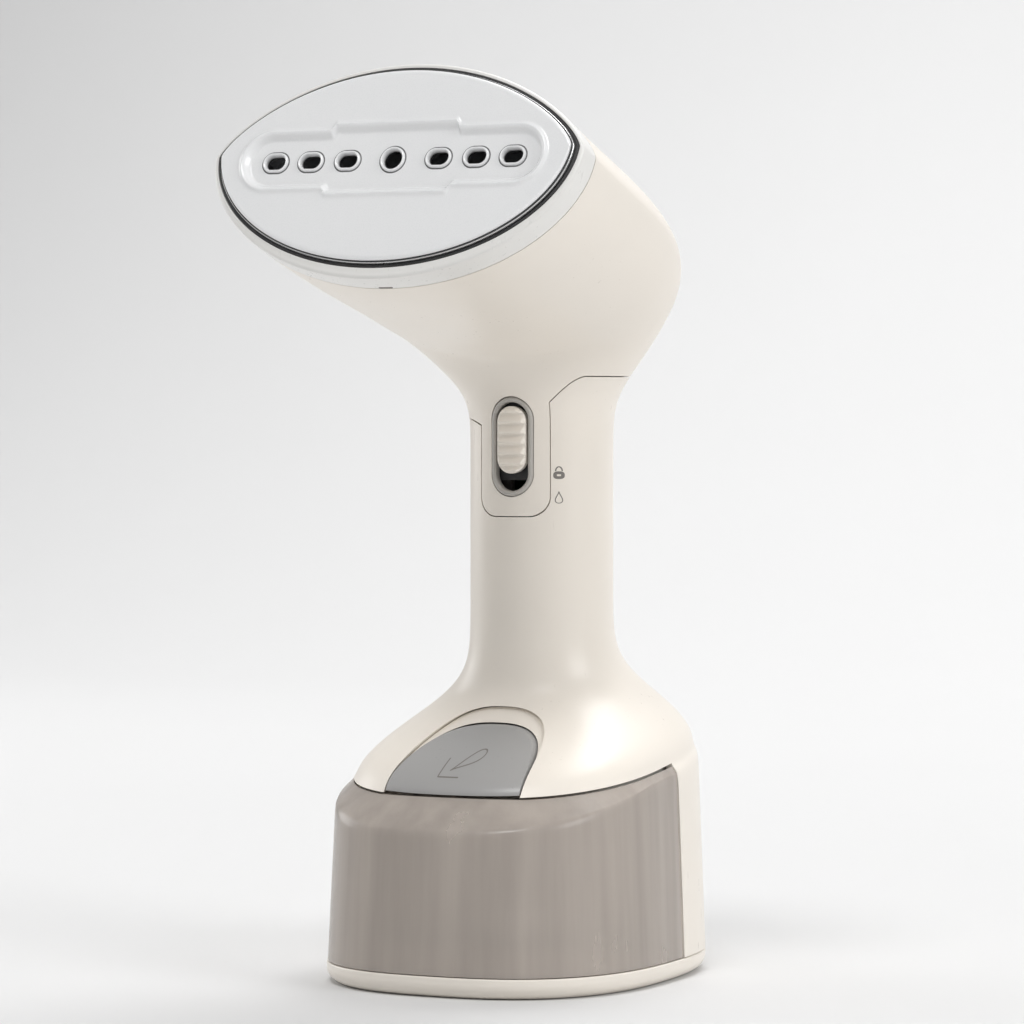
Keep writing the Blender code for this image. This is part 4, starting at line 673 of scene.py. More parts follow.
def arch(clearance, rise=0.0, count=61):
    """The button's outline in the front view: a squared-off half oval over the tank's top."""
    angle = np.linspace(0, math.pi, count)
    across = np.sign(np.cos(angle)) * np.abs(np.cos(angle)) ** (2 / BUTTON_SQUARENESS)
    ahead = np.clip(np.sin(angle), 0, 1) ** (2 / BUTTON_SQUARENESS)
    return np.column_stack([(BUTTON_HALF_WIDTH + clearance) * across,
                            TOP_HEIGHT + (BUTTON_TOP - TOP_HEIGHT + clearance + rise) * ahead])


print("the seam's outline has", len(seam_outline(0, NECK_HEIGHT)), "points")

# %% [markdown]
# ## Main housing
# One moulding makes the spine behind the tank, the flare and the handle. Its creases at the shoulder
# and the neck are rounded, the inner skin follows the outer one at the wall's thickness, and cutters
# open it for the tank, the head's tongue, the button and the cord. The rings through the neck are made
# once, because the head's shell lies in the same skin.

# %% Housing

def tank_bay(back):
    """Everything ahead of the bay's plane and under the sloping edge."""
    ahead, wide = BASE_FRONT - MM, BASE_HALF_WIDTH + MM
    outline = [(ahead, -MM), (back, -MM), (back, under_edge(back)), (ahead, under_edge(ahead))]
    return prism("bay", outline, -wide, wide, "X")


HEAD_RINGS, NECK_RINGS, NECK_PASSES = 90, 24, 24
NECK_FOOT = TONGUE_BOTTOM - MM
neck_line = np.concatenate([head_rings(np.linspace(head_share(BEZEL_DEPTH + GAP), 1, HEAD_RINGS)),
                            handle_rings(np.linspace(NECK_HEIGHT, NECK_FOOT, NECK_RINGS)[1:])])
neck_line = soften(neck_line, NECK_PASSES, HEAD_RINGS - NECK_RINGS, HEAD_RINGS + 18)
shoulder_grid = np.concatenate([wall_grid, between(wall_grid[-1], flare_grid[0], 8)[1:], flare_grid])
shoulder_grid = soften(shoulder_grid, 6)
housing_grid = np.concatenate([shoulder_grid, handle_rings(np.linspace(FLARE_TOP, NECK_FOOT, 20))[1:-1],
                               neck_line[HEAD_RINGS - 12:][::-1]])
housing = wall("housing", housing_grid, offset(housing_grid, -WALL))
BELOW_EDGE = 45 * MM
button_opening = np.vstack([arch(0.5 * MM, SCOOP_RISE), [(-BUTTON_HALF_WIDTH, BELOW_EDGE),
                                                         (BUTTON_HALF_WIDTH, BELOW_EDGE)]])
button_hole = prism("button_hole", button_opening, BASE_FRONT, FACE_Y, "Y")
gland_low, gland_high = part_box("cord_gland")
gland_z = (gland_low[2] + gland_high[2]) / 2
GLAND_HOLE = 9.6 * MM
gland_hole = prism("gland_hole", slot_outline(GLAND_HOLE, GLAND_HOLE, gland_z), 45 * MM, 70 * MM, "Y")
shaped(housing, "DIFFERENCE", tank_bay(TANK_BACK), *seam_cutters(GAP, NECK_HEIGHT + 0.06), button_hole,
       gland_hole)
housing.data.materials.append(cream)
finished(housing, BODY, ("main_housing",))

# %% [markdown]
# ## Head shell and bezel
# The horn is closed by the bezel, a ring in a cooler white with a rounded front lip.

# %% Horn

horn_grid = neck_line[::-1]
horn = wall("head_horn", horn_grid, offset(horn_grid, -WALL))
switch_hole = prism("switch_hole", slot_outline(SWITCH_WIDTH + 0.4 * MM, SWITCH_HEIGHT + 0.4 * MM, SWITCH_Z),
                    FACE_Y - 5 * MM, FACE_Y + 10 * MM, "Y")
shaped(horn, "DIFFERENCE", *seam_cutters(0, TONGUE_BOTTOM - 0.02), switch_hole)
horn.data.materials.append(cream)
finished(horn, BODY, ("head_shell",))

# %% Bezel ring

def rounded_lip(count):
    """Quarter circle as two arrays: how far it draws in, and how far it comes forward."""
    quarter = np.linspace(0, math.pi / 2, count)
    return 1 - np.cos(quarter), np.sin(quarter)


lip_in, lip_out = rounded_lip(8)
lip = 1.0 * MM
bezel_outer = head_rings(np.linspace(head_share(BEZEL_DEPTH), head_share(0.3 * MM), 14))
lip_rings = np.concatenate([head_rings([0.0], lip * drawn_in) - lip * (forward - 0.25) * BACKWARD
                            for drawn_in, forward in zip(lip_in, lip_out)])
inner_out = np.linspace(-RIM_BACK + 0.7 * MM, -RIM_BACK - BEZEL_DEPTH + MM, 8)
bezel_inner = eye_rings(np.full(8, -1.6 * MM), inner_out)
bezel = swept("bezel_ring", np.concatenate([bezel_outer, lip_rings, bezel_inner]))
bezel.data.materials.append(cool_white)
finished(bezel, BODY, ("head_bezel",))

# %% Pry slot under the bezel

# painted shade: the pry slot is a dark grey inlay standing for the shade inside a hollow slot
slot_ring = head_rings([head_share(BEZEL_DEPTH - 0.7 * MM)])[0]
slot_place = slot_ring[np.argmin(slot_ring[:, 2])]
reach = slot_outline(0.9 * MM, 4.4 * MM, 0.0, 32)
slot_points = [slot_place + reach[:, 1:] * (1, 0, 0) + reach[:, :1] * BACKWARD + (0, 0, depth)
               for depth in (-0.06 * MM, 0.5 * MM)]
pry_slot = stack("pry_slot", np.array(slot_points))
pry_slot.data.materials.append(ink_and_slot_shade)
finished(pry_slot, BODY)

# %% [markdown]
# ## Steam plate
# The glazed plate is nearly flat, with a shallow channel along the row of steam holes. A height field
# suits it: columns run from tip to tip, rows from the lower to the upper edge, and the height falls
# by a smooth step inside the channel. The holes are cut afterwards, where a grid would look ragged.

# %% Channel and edge of the plate
CHANNEL_HALF_LENGTH, CHANNEL_HALF_HEIGHT, CHANNEL_DEPTH = 46 * MM, 7.4 * MM, 1.4 * MM
RIDGE_HEIGHT = 0.6 * MM
CHANNEL_SLOPE, BLOCK_HALF_LENGTH, BLOCK_EXTRA = 1.6 * MM, 18.8 * MM, 1.9 * MM
HOLE_PLACES = np.array((-37.3, -26.0, -14.3, 0.0, 14.3, 26.0, 37.3)) * MM
HOLE_LENGTH, HOLE_HEIGHT, MIDDLE_HOLE = 6.2 * MM, 4.2 * MM, 5.8 * MM


def smooth_step(value):
    """0 below 0 and 1 above 1, with a cubic ease between them: 3v^2 - 2v^3."""
    value = np.clip(value, 0, 1)
    return value * value * (3 - 2 * value)


def channel_depth(across, up):
    """Depth under the plate's face: a smooth step into a round-ended channel that is wider over its
    middle block, less a low ridge round it, which is a bell curve of the distance."""
    past = np.abs(across) - (CHANNEL_HALF_LENGTH - CHANNEL_HALF_HEIGHT)
    block = smooth_step((BLOCK_HALF_LENGTH + CHANNEL_SLOPE - np.abs(across)) / CHANNEL_SLOPE)
    straight = CHANNEL_HALF_HEIGHT + BLOCK_EXTRA * block - np.abs(up)
    inside = np.where(past > 0, CHANNEL_HALF_HEIGHT - np.hypot(np.maximum(past, 0), up), straight)
    ridge = RIDGE_HEIGHT * np.exp(-((inside + 1.5 * MM) / (0.75 * MM)) ** 2)
    return CHANNEL_DEPTH * smooth_step(inside / (1.7 * MM) + 0.5) - ridge


def plate_skin(columns, rows):
    """Front of the plate: each column runs between the two bows, and the rim rounds off."""
    angle = np.linspace(0, math.pi, columns)[None, :]
    share = (1 - np.cos(np.linspace(0, math.pi, rows)))[:, None] / 2
    low = TIP_RISE - PLATE_DOWN * np.sin(angle) ** LOWER_POINT
    high = TIP_RISE + PLATE_UP * np.sin(angle) ** UPPER_POINT
    across = PLATE_HALF_WIDTH * np.cos(angle) + 0 * share
    up = low + (high - low) * share
    edge = np.minimum(up - low, high - up)
    fall = 0.8 * MM * (1 - np.sqrt(1 - (1 - np.clip(edge / (1.4 * MM), 0, 1)) ** 2))
    return across, up, -channel_depth(across, up) - fall


def hole_outline(place, grow, count=64):
    """Outline of a steam hole, with its long side along the plate; the middle one is round."""
    middle = abs(place) < MM
    length = (MIDDLE_HOLE if middle else HOLE_LENGTH) + 2 * grow
    height = (MIDDLE_HOLE if middle else HOLE_HEIGHT) + 2 * grow
    return slot_outline(height, max(length, height), 0.0, count) + (0, place)


def hole_ring(place, grow, out):
    """The same outline laid in the plate's plane at a height."""
    outline = hole_outline(place, grow)
    return plate_point(outline[:, 1], outline[:, 0], out)


across, up, height = plate_skin(420, 190)
front = plate_point(across, up, height)
back = plate_point(across, up, np.full(across.shape, -PLATE_THICK))
print("plate skin", front.shape, "deepest", round(float(-height.min() / MM), 2), "mm")

# %% Plate with its holes and grooves

def merged(piece, distance=0.00001):
    """Merges corners that share a place, such as all those at a pole."""
    work = bmesh.new()
    work.from_mesh(piece.data)
    bmesh.ops.remove_doubles(work, verts=work.verts, dist=distance)
    bmesh.ops.dissolve_degenerate(work, edges=work.edges, dist=distance / 10)
    work.to_mesh(piece.data)
    work.free()
    return piece


def hole_band(name, place, grow, out, width, depth):
    """A ring round a hole with an elliptical section: the profile's cosine and sine at each point."""
    angle = np.linspace(0, TAU, 12, endpoint=False)
    return swept(name, np.array([hole_ring(place, grow + width * math.cos(a), out + depth * math.sin(a))
                                 for a in angle]))


def sheet_pair(name, front, back):
    """A front and a back sheet joined round their first and last rows; their side columns meet."""
    rows, columns = 2 * len(front), front.shape[1]
    faces = quads(rows, columns, wrap_rows=True)
    inside = np.tile(np.arange(columns) < columns - 1, rows)
    return add_piece(name, np.concatenate([front, back[::-1]]), faces[inside])


plate = face_out(merged(sheet_pair("steam_plate_glazed", front, back)))
cutters = [stack(f"hole_{number}", np.array([hole_ring(place, 0, 2 * MM), hole_ring(place, 0, -6 * MM)]))
           for number, place in enumerate(HOLE_PLACES)]
shaped(plate, "DIFFERENCE", *cutters)
spots = np.empty(len(plate.data.vertices) * 3)
plate.data.vertices.foreach_get("co", spots)
spots = spots.reshape(-1, 3)
spot_out = -(spots - plate_point(0.0, 0.0, 0.0)) @ BACKWARD
near = np.min(np.abs(spots[:, :1] - HOLE_PLACES), axis=1) < 3.6 * MM
spot_up = (spots - plate_point(0.0, 0.0, 0.0)) @ np.array((0, math.sin(PLATE_TILT), math.cos(PLATE_TILT)))
near &= np.abs(spot_up) < MIDDLE_HOLE / 2 + 0.1 * MM
# painted shade: points deep in a steam hole are marked for a near-black glaze colour
painted_hole_shade = np.where(near & (spot_out < -CHANNEL_DEPTH - 0.5 * MM), 1.0, 0.0)
plate.data.attributes.new("painted_hole_shade", "FLOAT", "POINT").data.foreach_set("value", painted_hole_shade)
plate.data.materials.append(plate_glaze)
finished(plate, BODY, ("steam_plate",), 40)

# %% [markdown]
# Each steam hole has a raised lip, so that the cloth isn't caught by a sharp edge. Round the foot of
# the lip a thin dark ring is painted shade, standing for the shadow in a groove there; it is a slim ring of
# its own.

# %% Lips of the steam holes
for number, place in enumerate(HOLE_PLACES):
    lip_ring = hole_band(f"steam_lip_{number + 1}", place, 0.5 * MM, -CHANNEL_DEPTH, 0.45 * MM, 0.75 * MM)
    lip_ring.data.materials.append(plate_glaze)
    finished(lip_ring, BODY)
    # painted shade: a thin dark ring for the shadow in the groove round each lip
    line = hole_band(f"lip_groove_shadow_{number + 1}", place, 1.12 * MM, -CHANNEL_DEPTH, 0.2 * MM, 0.1 * MM)
    line.data.materials.append(painted_groove_shade)
    finished(line, BODY)

# %% Seal and steel edge round the plate

def eye_band(name, inset, out, width, high, finish, replaced=()):
    """A band round the plate with a rounded section: inset and height trace a flattened circle."""
    angle = np.linspace(0, TAU, 20, endpoint=False)
    across, rise = (np.sign(side) * np.abs(side) ** 0.7 for side in (np.cos(angle), np.sin(angle)))
    band = swept(name, eye_rings(inset + width * across, out + high * rise))
    band.data.materials.append(finish)
    finished(band, BODY, replaced)


eye_band("plate_seal_band", -1.0 * MM, -3.1 * MM, 0.5 * MM, 0.9 * MM, rubber, ("plate_seal",))
eye_band("plate_steel_edge", -0.28 * MM, -1.95 * MM, 0.3 * MM, 0.75 * MM, edge_steel)
eye_band("plate_edge_line", -0.12 * MM, -1.0 * MM, 0.22 * MM, 0.16 * MM, rubber)

# %% [markdown]
# ## Water tank
# The tank is a thin clear moulding: a wall, a bevel round its top and a flat back. A solid is
# stacked from rings and trimmed, and the same rings moved inward by the wall's thickness hollow it.

# %% Tank
TANK_FACE = TANK_BACK - GAP
tank_wall = wall_rings(TANK_RECESS, lean)
tank_top = flare_rings([0.0]) - (0, 0, GAP)
tank_grid = np.concatenate([tank_wall, between(tank_wall[-1], tank_top[0], 12)[1:], tank_top])
tank_grid = soften(tank_grid, 1)
tank = stack("water_tank", tank_grid)
lid_x, lid_y = oval(BASE_HALF_WIDTH - WALL_LEAN - BEVEL_SIDE + 0.5 * MM, TOP_FRONT - 0.5 * MM,
                    BASE_BACK - WALL_LEAN - BEVEL_BACK + 0.5 * MM, BASE_SQUARENESS)
FAR = 0.1
shaped(tank, "DIFFERENCE", prism("lid_cut", np.column_stack([lid_x, lid_y]), TOP_HEIGHT - GAP, FAR, "Z"),
       block("back_cut", (-FAR, TANK_FACE, -FAR), (FAR, FAR, FAR)))
inner = offset(tank_grid, -TANK_WALL)
inner = np.concatenate([inner[:1] - (0, 0, 6 * MM), inner])
water = stack("water_space", inner)
shaped(water, "DIFFERENCE", block("water_back", (-FAR, TANK_FACE - TANK_WALL, -FAR), (FAR, FAR, FAR)),
       block("water_top", (-FAR, -FAR, TOP_HEIGHT - GAP - TANK_WALL), (FAR, FAR, FAR)))
shaped(tank, "DIFFERENCE", water)

# %% Filler neck and outlet of the tank

def round_bar(name, radius, low, high, centre, axis):
    """A round bar along an axis: a circle carried between two levels."""
    angle = np.linspace(0, TAU, 64, endpoint=False)
    outline = np.column_stack([radius * np.cos(angle), radius * np.sin(angle)]) + centre
    return prism(name, outline, low, high, axis)


COLLAR_RADIUS, POCKET_RADIUS, FILLER_RADIUS, OUTLET_RADIUS = 10.4 * MM, 9.3 * MM, 6.5 * MM, 7.3 * MM
COLLAR_OUT, COLLAR_IN, POCKET_FLOOR = -50.6 * MM, -47 * MM, -49.2 * MM
FILLER_AT = (-6 * MM, 34 * MM)
outlet_low, outlet_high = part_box("tank_outlet")
outlet_at = ((outlet_low[0] + outlet_high[0]) / 2, (outlet_low[2] + outlet_high[2]) / 2)
shaped(tank, "UNION", round_bar("collar", COLLAR_RADIUS, COLLAR_OUT, COLLAR_IN, FILLER_AT, "X"))
shaped(tank, "DIFFERENCE", round_bar("collar_pocket", POCKET_RADIUS, -60 * MM, POCKET_FLOOR, FILLER_AT, "X"),
       round_bar("filler_neck", FILLER_RADIUS, -60 * MM, -40 * MM, FILLER_AT, "X"),
       round_bar("outlet_hole", OUTLET_RADIUS, 0.0, 20 * MM, outlet_at, "Y"))
tank.data.materials.append(smoke)
finished(tank, TANK, ("tank_shell",))

# %% [markdown]
# ## Foot
# A shallow tray closes the base. Its profile is drawn once, from the middle of the underside round
# the lower edge and over the rim to the middle of the floor, and it is carried round the base.

# %% Base tray
TRAY_MIDDLE = 40 * MM

def tray_grid():
    """Rings of the tray: quarter circle at the lower edge, a small round at the rim, then inside."""
    quarter = np.linspace(0, math.pi / 2, 14)
    low = np.column_stack([RIM_ROUND * (1 - np.sin(quarter)), RIM_ROUND * 0.9 * (1 - np.cos(quarter))])
    rim = np.column_stack([0.5 * MM * (1 - np.cos(quarter)), RIM_HEIGHT - 0.5 * MM * (1 - np.sin(quarter))])
    inside = [(WALL, RIM_HEIGHT), (WALL, TRAY_FLOOR), (TRAY_MIDDLE, TRAY_FLOOR)]
    profile = np.vstack([[(TRAY_MIDDLE, 0)], low, rim, inside])
    return level_rings(profile[:, 0], profile[:, 1])


tray = stack("foot_tray", tray_grid())
SCREW_WELL = 3.1 * MM
pockets = []
for number in range(1, 5):
    pad_low, pad_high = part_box(f"anti_slip_pad_{number}")
    pockets.append(block(f"pad_pocket_{number}", (pad_low[0] - GAP, pad_low[1] - GAP, -FAR),
                         (pad_high[0] + GAP, pad_high[1] + GAP, pad_high[2] + 0.05 * MM)))
    screw_low, screw_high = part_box(f"tray_screw_{number}")
    screw_at = ((screw_low[0] + screw_high[0]) / 2, (screw_low[1] + screw_high[1]) / 2)
    pockets.append(round_bar(f"screw_well_{number}", SCREW_WELL, -FAR, 2.4 * MM, screw_at, "Z"))
shaped(tray, "DIFFERENCE", *pockets)
tray.data.materials.append(cream)
finished(tray, BODY, ("base_tray",))

# %% [markdown]
# ## Release button and finger scoop
# The button lies flush in the flare. Its front is a slice of the flare itself: a bar with the
# button's outline is intersected with the flare and hollowed with the flare moved inward.

# %% Button

def flare_body(name, inward):
    """The space inside the flare's skin, moved inward."""
    return stack(name, offset(flare_grid, -inward) if inward else flare_grid)


def button_bar(name, clearance, rise=0.0, back=-6.1 * MM):
    """A bar along Y with the button's outline."""
    foot = TOP_HEIGHT - BEVEL_FRONT
    half = BUTTON_HALF_WIDTH + clearance
    outline = np.vstack([arch(clearance, rise), [(-half, foot), (half, foot)]])
    return prism(name, outline, BASE_FRONT, back, "Y")


LATCH_Y, LATCH_LENGTH, LATCH_HALF, SPRING_Z = -33 * MM, 4 * MM, 3 * MM, 66.5 * MM
SEAT_HALF, SEAT_START, SEAT_END = 3.6 * MM, -26 * MM, -22.3 * MM
button = button_bar("button_cap", 0.0)
shaped(button, "INTERSECT", flare_body("button_face", 0))
foot_cut = [(-FAR, -FAR), (FAR, -FAR), (FAR, under_edge(FAR) + 0.5 * MM), (-FAR, under_edge(-FAR) + 0.5 * MM)]
shaped(button, "DIFFERENCE", flare_body("button_back", 2.4 * MM), prism("foot_cut", foot_cut, -FAR, FAR, "X"))
latch = block("latch", (-LATCH_HALF, LATCH_Y, TOP_HEIGHT + 0.5 * MM),
              (LATCH_HALF, LATCH_Y + LATCH_LENGTH, SPRING_Z))
shaped(latch, "UNION", block("arm", (-LATCH_HALF, LATCH_Y - LATCH_LENGTH, SPRING_Z - LATCH_HALF),
                             (LATCH_HALF, SEAT_END, SPRING_Z)),
       block("spring_seat", (-SEAT_HALF, SEAT_START, SPRING_Z - SEAT_HALF),
             (SEAT_HALF, SEAT_END, SPRING_Z + SEAT_HALF)))
shaped(latch, "INTERSECT", flare_body("latch_trim", 1.2 * MM))
shaped(button, "UNION", latch)
button.data.materials.append(warm_grey)
finished(button, BUTTON, ("release_button",))

# %% [markdown]
# A coil spring behind the button pushes it out again. It is drawn at its free length.

# %% Return spring
SPRING_TURNS, SPRING_RADIUS, SPRING_WIRE, BUTTON_TRAVEL = 4, 2.6 * MM, 0.45 * MM, 2.5 * MM

def spring_wire(turns, radius, wire, first, last, around=10, steps=40):
    """A coil: the wire's centre turns round an axis along Y, and a small circle is carried with it."""
    share = np.linspace(0, 1, turns * steps)[:, None]
    angle = share * turns * TAU
    section = np.linspace(0, TAU, around, endpoint=False)[None, :]
    reach = radius + wire * np.cos(section)
    along_y = first + wire + (last - first - 2 * wire) * share + wire * np.sin(section)
    return rings(reach * np.cos(angle), along_y, SPRING_Z + reach * np.sin(angle))


spring_low, spring_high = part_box("release_spring")
spring = stack("return_spring", spring_wire(SPRING_TURNS, SPRING_RADIUS, SPRING_WIRE, spring_low[1],
                                            spring_high[1]))
spring.data.materials.append(bright_steel)
finished(spring, BODY, ("release_spring",), 60)
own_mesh(spring)

# %% Finger scoop
scoop = button_bar("finger_scoop", 0.2 * MM, SCOOP_RISE)
shaped(scoop, "INTERSECT", flare_body("scoop_face", 1.0 * MM))
shaped(scoop, "DIFFERENCE", flare_body("scoop_back", 3.0 * MM), button_bar("scoop_hole", 0.5 * MM, 0.0, 0.0))
scoop.data.materials.append(cream)
finished(scoop, BODY, ("button_surround",))

# %% [markdown]
# ## Sliding switch
# The switch's frame is a rounded rim bent round the handle: its section is carried round a slot, and
# each point is laid on a cylinder about the handle's axis.

# %% Frame and knob of the switch

def on_handle(x, z, proud):
    """A front-view place laid on the handle's cylinder, proud of its skin."""
    return rings(x, HANDLE_Y - np.sqrt((HANDLE_RADIUS + proud) ** 2 - x**2), z)


def switch_rim(name):
    """Section of the rim: a half round on top of two straight sides, as (draw-in, proud) pairs."""
    half = np.linspace(math.pi, 0, 14)
    crown = np.column_stack([SWITCH_RIM / 2 * (1 + np.cos(half)), -0.4 * MM + 0.9 * MM * np.sin(half)])
    section = np.vstack([[(0, -WALL)], crown, [(SWITCH_RIM, -WALL)]])
    outlines = [slot_outline(SWITCH_WIDTH - 2 * inset, SWITCH_HEIGHT - 2 * inset, SWITCH_Z, 96)
                for inset in section[:, 0]]
    return swept(name, np.array([on_handle(outline[:, 0], outline[:, 1], proud)
                                 for outline, proud in zip(outlines, section[:, 1])]))


rim = switch_rim("switch_frame")
rim.data.materials.append(bezel_grey)
finished(rim, BODY, ("switch_bezel",))

knob_low, knob_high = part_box("slide_knob")
knob_z = (knob_low[2] + knob_high[2]) / 2
knob_width, knob_height = knob_high[0] - knob_low[0], knob_high[2] - knob_low[2]


def knob_surface(columns, rows):
    """Louvred face of the knob: rows of an upright slot's width, with a saw-tooth from row to row
    that fades out towards the sides."""
    height = knob_height / 2 * np.sin(np.linspace(-math.pi / 2, math.pi / 2, rows))[:, None]
    radius = knob_width / 2
    past = np.maximum(np.abs(height) - (knob_height / 2 - radius), 0)
    half = np.sqrt(np.maximum(radius**2 - past**2, 0))
    share = np.sin(np.linspace(-math.pi / 2, math.pi / 2, columns))[None, :]
    wave = (height / (3.1 * MM) + 0.3) % 1.0
    tooth = 1 - smooth_step(wave / 0.75) + smooth_step((wave - 0.78) / 0.22)
    edge = np.minimum((1 - np.abs(share)) * half, knob_height / 2 - np.abs(height))
    proud = 0.2 * MM + 1.35 * MM * tooth * smooth_step(edge / (1.0 * MM))
    return half * share, height + knob_z, proud


knob_x, knob_rise, knob_proud = knob_surface(48, 200)
knob_face = on_handle(knob_x, knob_rise, knob_proud)
knob_back = on_handle(knob_x, knob_rise + 0 * knob_x, -1.8 * MM)
knob = merged(stack("switch_knob", np.concatenate([knob_face, knob_back[:, ::-1]], axis=1)))
knob.data.materials.append(cream)
finished(knob, SWITCH, ("slide_knob",), 60)

# %% [markdown]
# ## Printed signs
# Small signs tell what the switch and the button do. Each line is a thin inlay: a ribbon whose width
# is laid off to both sides of its path, on the surface that it is printed on.

# %% Ribbons of ink

def ribbon(name, path, width, surface, body, finish, closed=False):
    """A flat line on a surface: the path's normals give its two sides, and two depths its faces."""
    path = np.asarray(path, float)
    if closed:
        ahead = np.roll(path, -1, axis=0) - np.roll(path, 1, axis=0)
    else:
        ahead = np.gradient(path, axis=0)
    side = np.column_stack([-ahead[:, 1], ahead[:, 0]])
    side /= np.linalg.norm(side, axis=1, keepdims=True) + 1e-12
    left, right = path + side * width / 2, path - side * width / 2
    corners = [surface(edge[:, 0], edge[:, 1], proud) for edge, proud in
               ((left, 0.05 * MM), (right, 0.05 * MM), (right, -0.25 * MM), (left, -0.25 * MM))]
    grid = np.stack(corners, axis=1)
    line = swept(name, grid) if closed else stack(name, grid)
    line.data.materials.append(finish)
    finished(line, body)


def on_flare(x, z, proud):
    """A front-view place laid on the flare."""
    return rings(x, flare_front(x, z) - proud, z)


def along(points, step=0.25 * MM):
    """A line through points with more points between them, evenly spaced."""
    points = np.asarray(points, float)
    length = np.concatenate([[0], np.cumsum(np.linalg.norm(np.diff(points, axis=0), axis=1))])
    place = np.linspace(0, length[-1], max(3, int(length[-1] / step)))
    return np.column_stack([np.interp(place, length, column) for column in points.T])


def loop(half_width, half_height, x, z, squareness=2.0, start=0.0, stop=TAU, count=40):
    """An oval line, or part of one, about a middle."""
    angle = np.linspace(start, stop, count, endpoint=stop - start < TAU - 0.01)
    across, rise = np.cos(angle), np.sin(angle)
    return np.column_stack([x + half_width * np.sign(across) * np.abs(across) ** (2 / squareness),
                            z + half_height * np.sign(rise) * np.abs(rise) ** (2 / squareness)])


def padlock(name, x, z, opened):
    """A body with round corners and a bow over it, which stands open or shut."""
    ribbon(name + "_body", loop(0.95 * MM, 0.72 * MM, x, z - 0.8 * MM, 3), 0.85 * MM, on_handle, BODY, ink_and_slot_shade,
           closed=True)
    bow_x = x + (1.3 * MM if opened else 0)
    ribbon(name + "_bow", loop(0.8 * MM, 1.3 * MM, bow_x, z + 0.4 * MM, 2, 0, math.pi, 20), 0.32 * MM,
           on_handle, BODY, ink_and_slot_shade)


def drop_line(length, width, x, z, turned, count=60):
    """A drop: the cosine runs along it, and the sine times the square of the half angle's sine is its
    width, which makes one end pointed. The line is then turned and moved."""
    angle = np.linspace(0, TAU, count, endpoint=False)
    run, side = length * np.cos(angle), width * np.sin(angle) * np.sin(angle / 2) ** 2
    return np.column_stack([x + run * math.cos(turned) - side * math.sin(turned),
                            z + run * math.sin(turned) + side * math.cos(turned)])


SIGN_X = 13.5 * MM
padlock("open_lock", SIGN_X, 165.8 * MM, True)
padlock("shut_lock", SIGN_X, 149.8 * MM, False)
ribbon("drop_sign", drop_line(1.7 * MM, 1.35 * MM, SIGN_X, 142.4 * MM, math.pi / 2), 0.22 * MM, on_handle,
       BODY, ink_and_slot_shade, closed=True)

# %% Sign on the button
corner_line = along([(-5.2 * MM, 66.8 * MM), (-5.2 * MM, 61.9 * MM), (1.4 * MM, 61.9 * MM)])
ribbon("corner_sign", corner_line, 0.36 * MM, on_flare, BUTTON, ink_and_slot_shade)
ribbon("water_sign", drop_line(4.4 * MM, 2.3 * MM, 1.2 * MM, 66.2 * MM, math.radians(215)), 0.34 * MM,
       on_flare, BUTTON, ink_and_slot_shade, closed=True)

# %% [markdown]
# ## Small fittings
# The filler flap, gland, pads and screws keep the solid model's shapes. A merged copy takes their
# place with smooth shading and a small bevel, because no moulded or turned edge is quite sharp.

# %% Soft edges for small fittings

def soft_edged(node, body, width=0.2 * MM):
    """A merged copy of a node with a narrow bevel on its sharp edges."""
    source = frame["nodes"][node]
    piece = bpy.data.objects.new(node + "_soft", source.data.copy())
    bpy.context.scene.collection.objects.link(piece)
    merged(piece, 0.000002)
    if width:
        bevel = piece.modifiers.new("soft edge", "BEVEL")
        bevel.width, bevel.segments, bevel.limit_method = width, 2, "ANGLE"
        bevel.angle_limit = math.radians(40)
    finished(piece, body, (node,), 40)


soft_edged("filler_flap", FLAP)
soft_edged("cord_gland", BODY)
for number in range(1, 5):
    soft_edged(f"anti_slip_pad_{number}", BODY)
    soft_edged(f"tray_screw_{number}", BODY, 0.1 * MM)
for node in ("tank_floor", "tank_outlet", "tank_filter"):
    soft_edged(node, TANK, 0.0)

# %% [markdown]
# ## Studio
# The steamer stands on a pale floor that curves up behind it. Large soft lamps stand to its right,
# to its left and in front above it, and one more lights the wall behind it. The lens is long, so
# upright edges stay nearly parallel.

# %% Floor and backdrop

def sweep_floor():
    """A flat floor that turns up into a wall by a quarter circle, as one thin closed sheet."""
    quarter = np.linspace(0, math.pi / 2, 24)
    run = np.concatenate([[-3.0], 1.2 + 0.8 * np.sin(quarter), [2.0]])
    rise = np.concatenate([[0.0], 0.8 * (1 - np.cos(quarter)), [3.0]])
    sheet = np.array([[(-4.0, y, z), (4.0, y, z), (4.0, y + 0.01, z - 0.01), (-4.0, y + 0.01, z - 0.01)]
                      for y, z in zip(run, rise)])
    return stack("studio_floor", sheet)


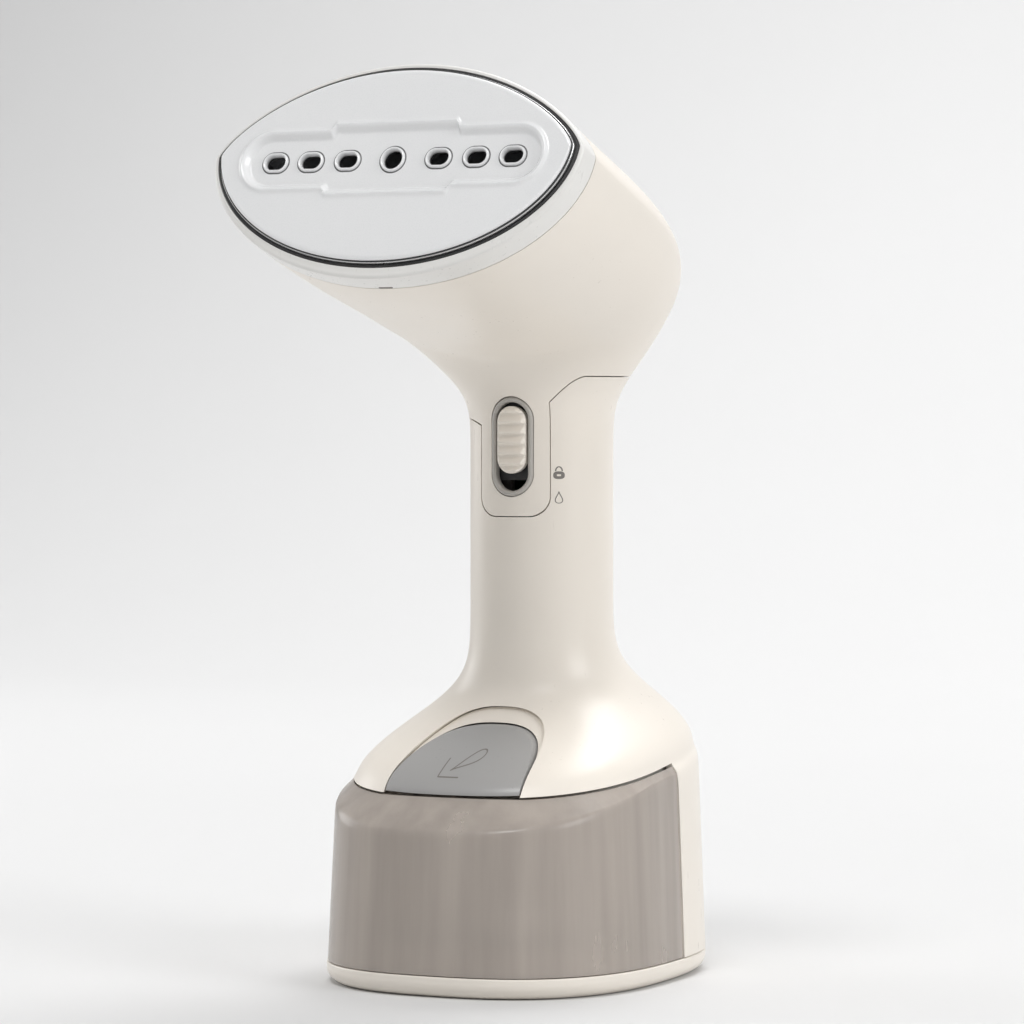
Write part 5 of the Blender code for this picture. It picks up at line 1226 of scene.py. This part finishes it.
floor = sweep_floor()
floor.data.shade_smooth()
floor.data.set_sharp_from_angle(angle=math.radians(40))
print("the floor has", len(floor.data.polygons), "faces")
paper = Finish("pale_paper", Roughness=0.9)
paper_tint = paper.mixed(paper.noise(3.0), (0.70, 0.70, 0.70, 1), (0.72, 0.72, 0.72, 1))
floor.data.materials.append(paper.set(Base_Color=paper_tint, Normal=paper.bump(paper.noise(900), 0.00003)))

# %% Lamps and air

def lamp(name, place, size, power, towards=(0, 0, 0.13)):
    """A square area lamp turned towards a point."""
    light = bpy.data.lights.new(name, "AREA")
    light.energy, light.shape, light.size = power, "SQUARE", size
    made = bpy.data.objects.new(name, light)
    bpy.context.scene.collection.objects.link(made)
    made.location = place
    made.rotation_euler = (Vector(towards) - Vector(place)).to_track_quat("-Z", "Y").to_euler()
    return made


lamp("key_lamp", (1.7, -0.3, 0.9), 0.9, 13)
lamp("side_lamp", (-1.7, 0.3, 0.6), 1.0, 8)
lamp("top_lamp", (0.1, -1.1, 1.8), 0.6, 14)
lamp("wall_lamp", (0.0, 1.35, 2.5), 1.4, 42, (0, 2.0, 0.9))
world = bpy.data.worlds.new("soft_white")
world.use_nodes = True
world.node_tree.nodes["Background"].inputs[0].default_value = (1.0, 1.0, 1.0, 1)
world.node_tree.nodes["Background"].inputs[1].default_value = 0.36
bpy.context.scene.world = world
bpy.context.scene.view_settings.view_transform = "Standard"
print(len(bpy.data.lights), "lamps")

# %% Camera
LENS, SENSOR = 144.5, 36
AIM_ACROSS, AIM_HEIGHT = -9.03 * MM, 137.65 * MM
AZIMUTH, ELEVATION, DISTANCE = math.radians(25.5), math.radians(1.14), 1.2426
camera = bpy.data.objects.new("camera", bpy.data.cameras.new("camera"))
bpy.context.scene.collection.objects.link(camera)
camera.data.lens, camera.data.sensor_width = LENS, SENSOR
behind = np.array((math.sin(AZIMUTH) * math.cos(ELEVATION), -math.cos(AZIMUTH) * math.cos(ELEVATION),
                   math.sin(ELEVATION)))
aim = np.array((math.cos(AZIMUTH), math.sin(AZIMUTH), 0)) * AIM_ACROSS + (0, HANDLE_Y, AIM_HEIGHT)
camera.location = aim + behind * DISTANCE
camera.rotation_euler = (math.pi / 2 - ELEVATION, 0, AZIMUTH)
bpy.context.scene.camera = camera
print("camera at", [round(value, 3) for value in camera.location])
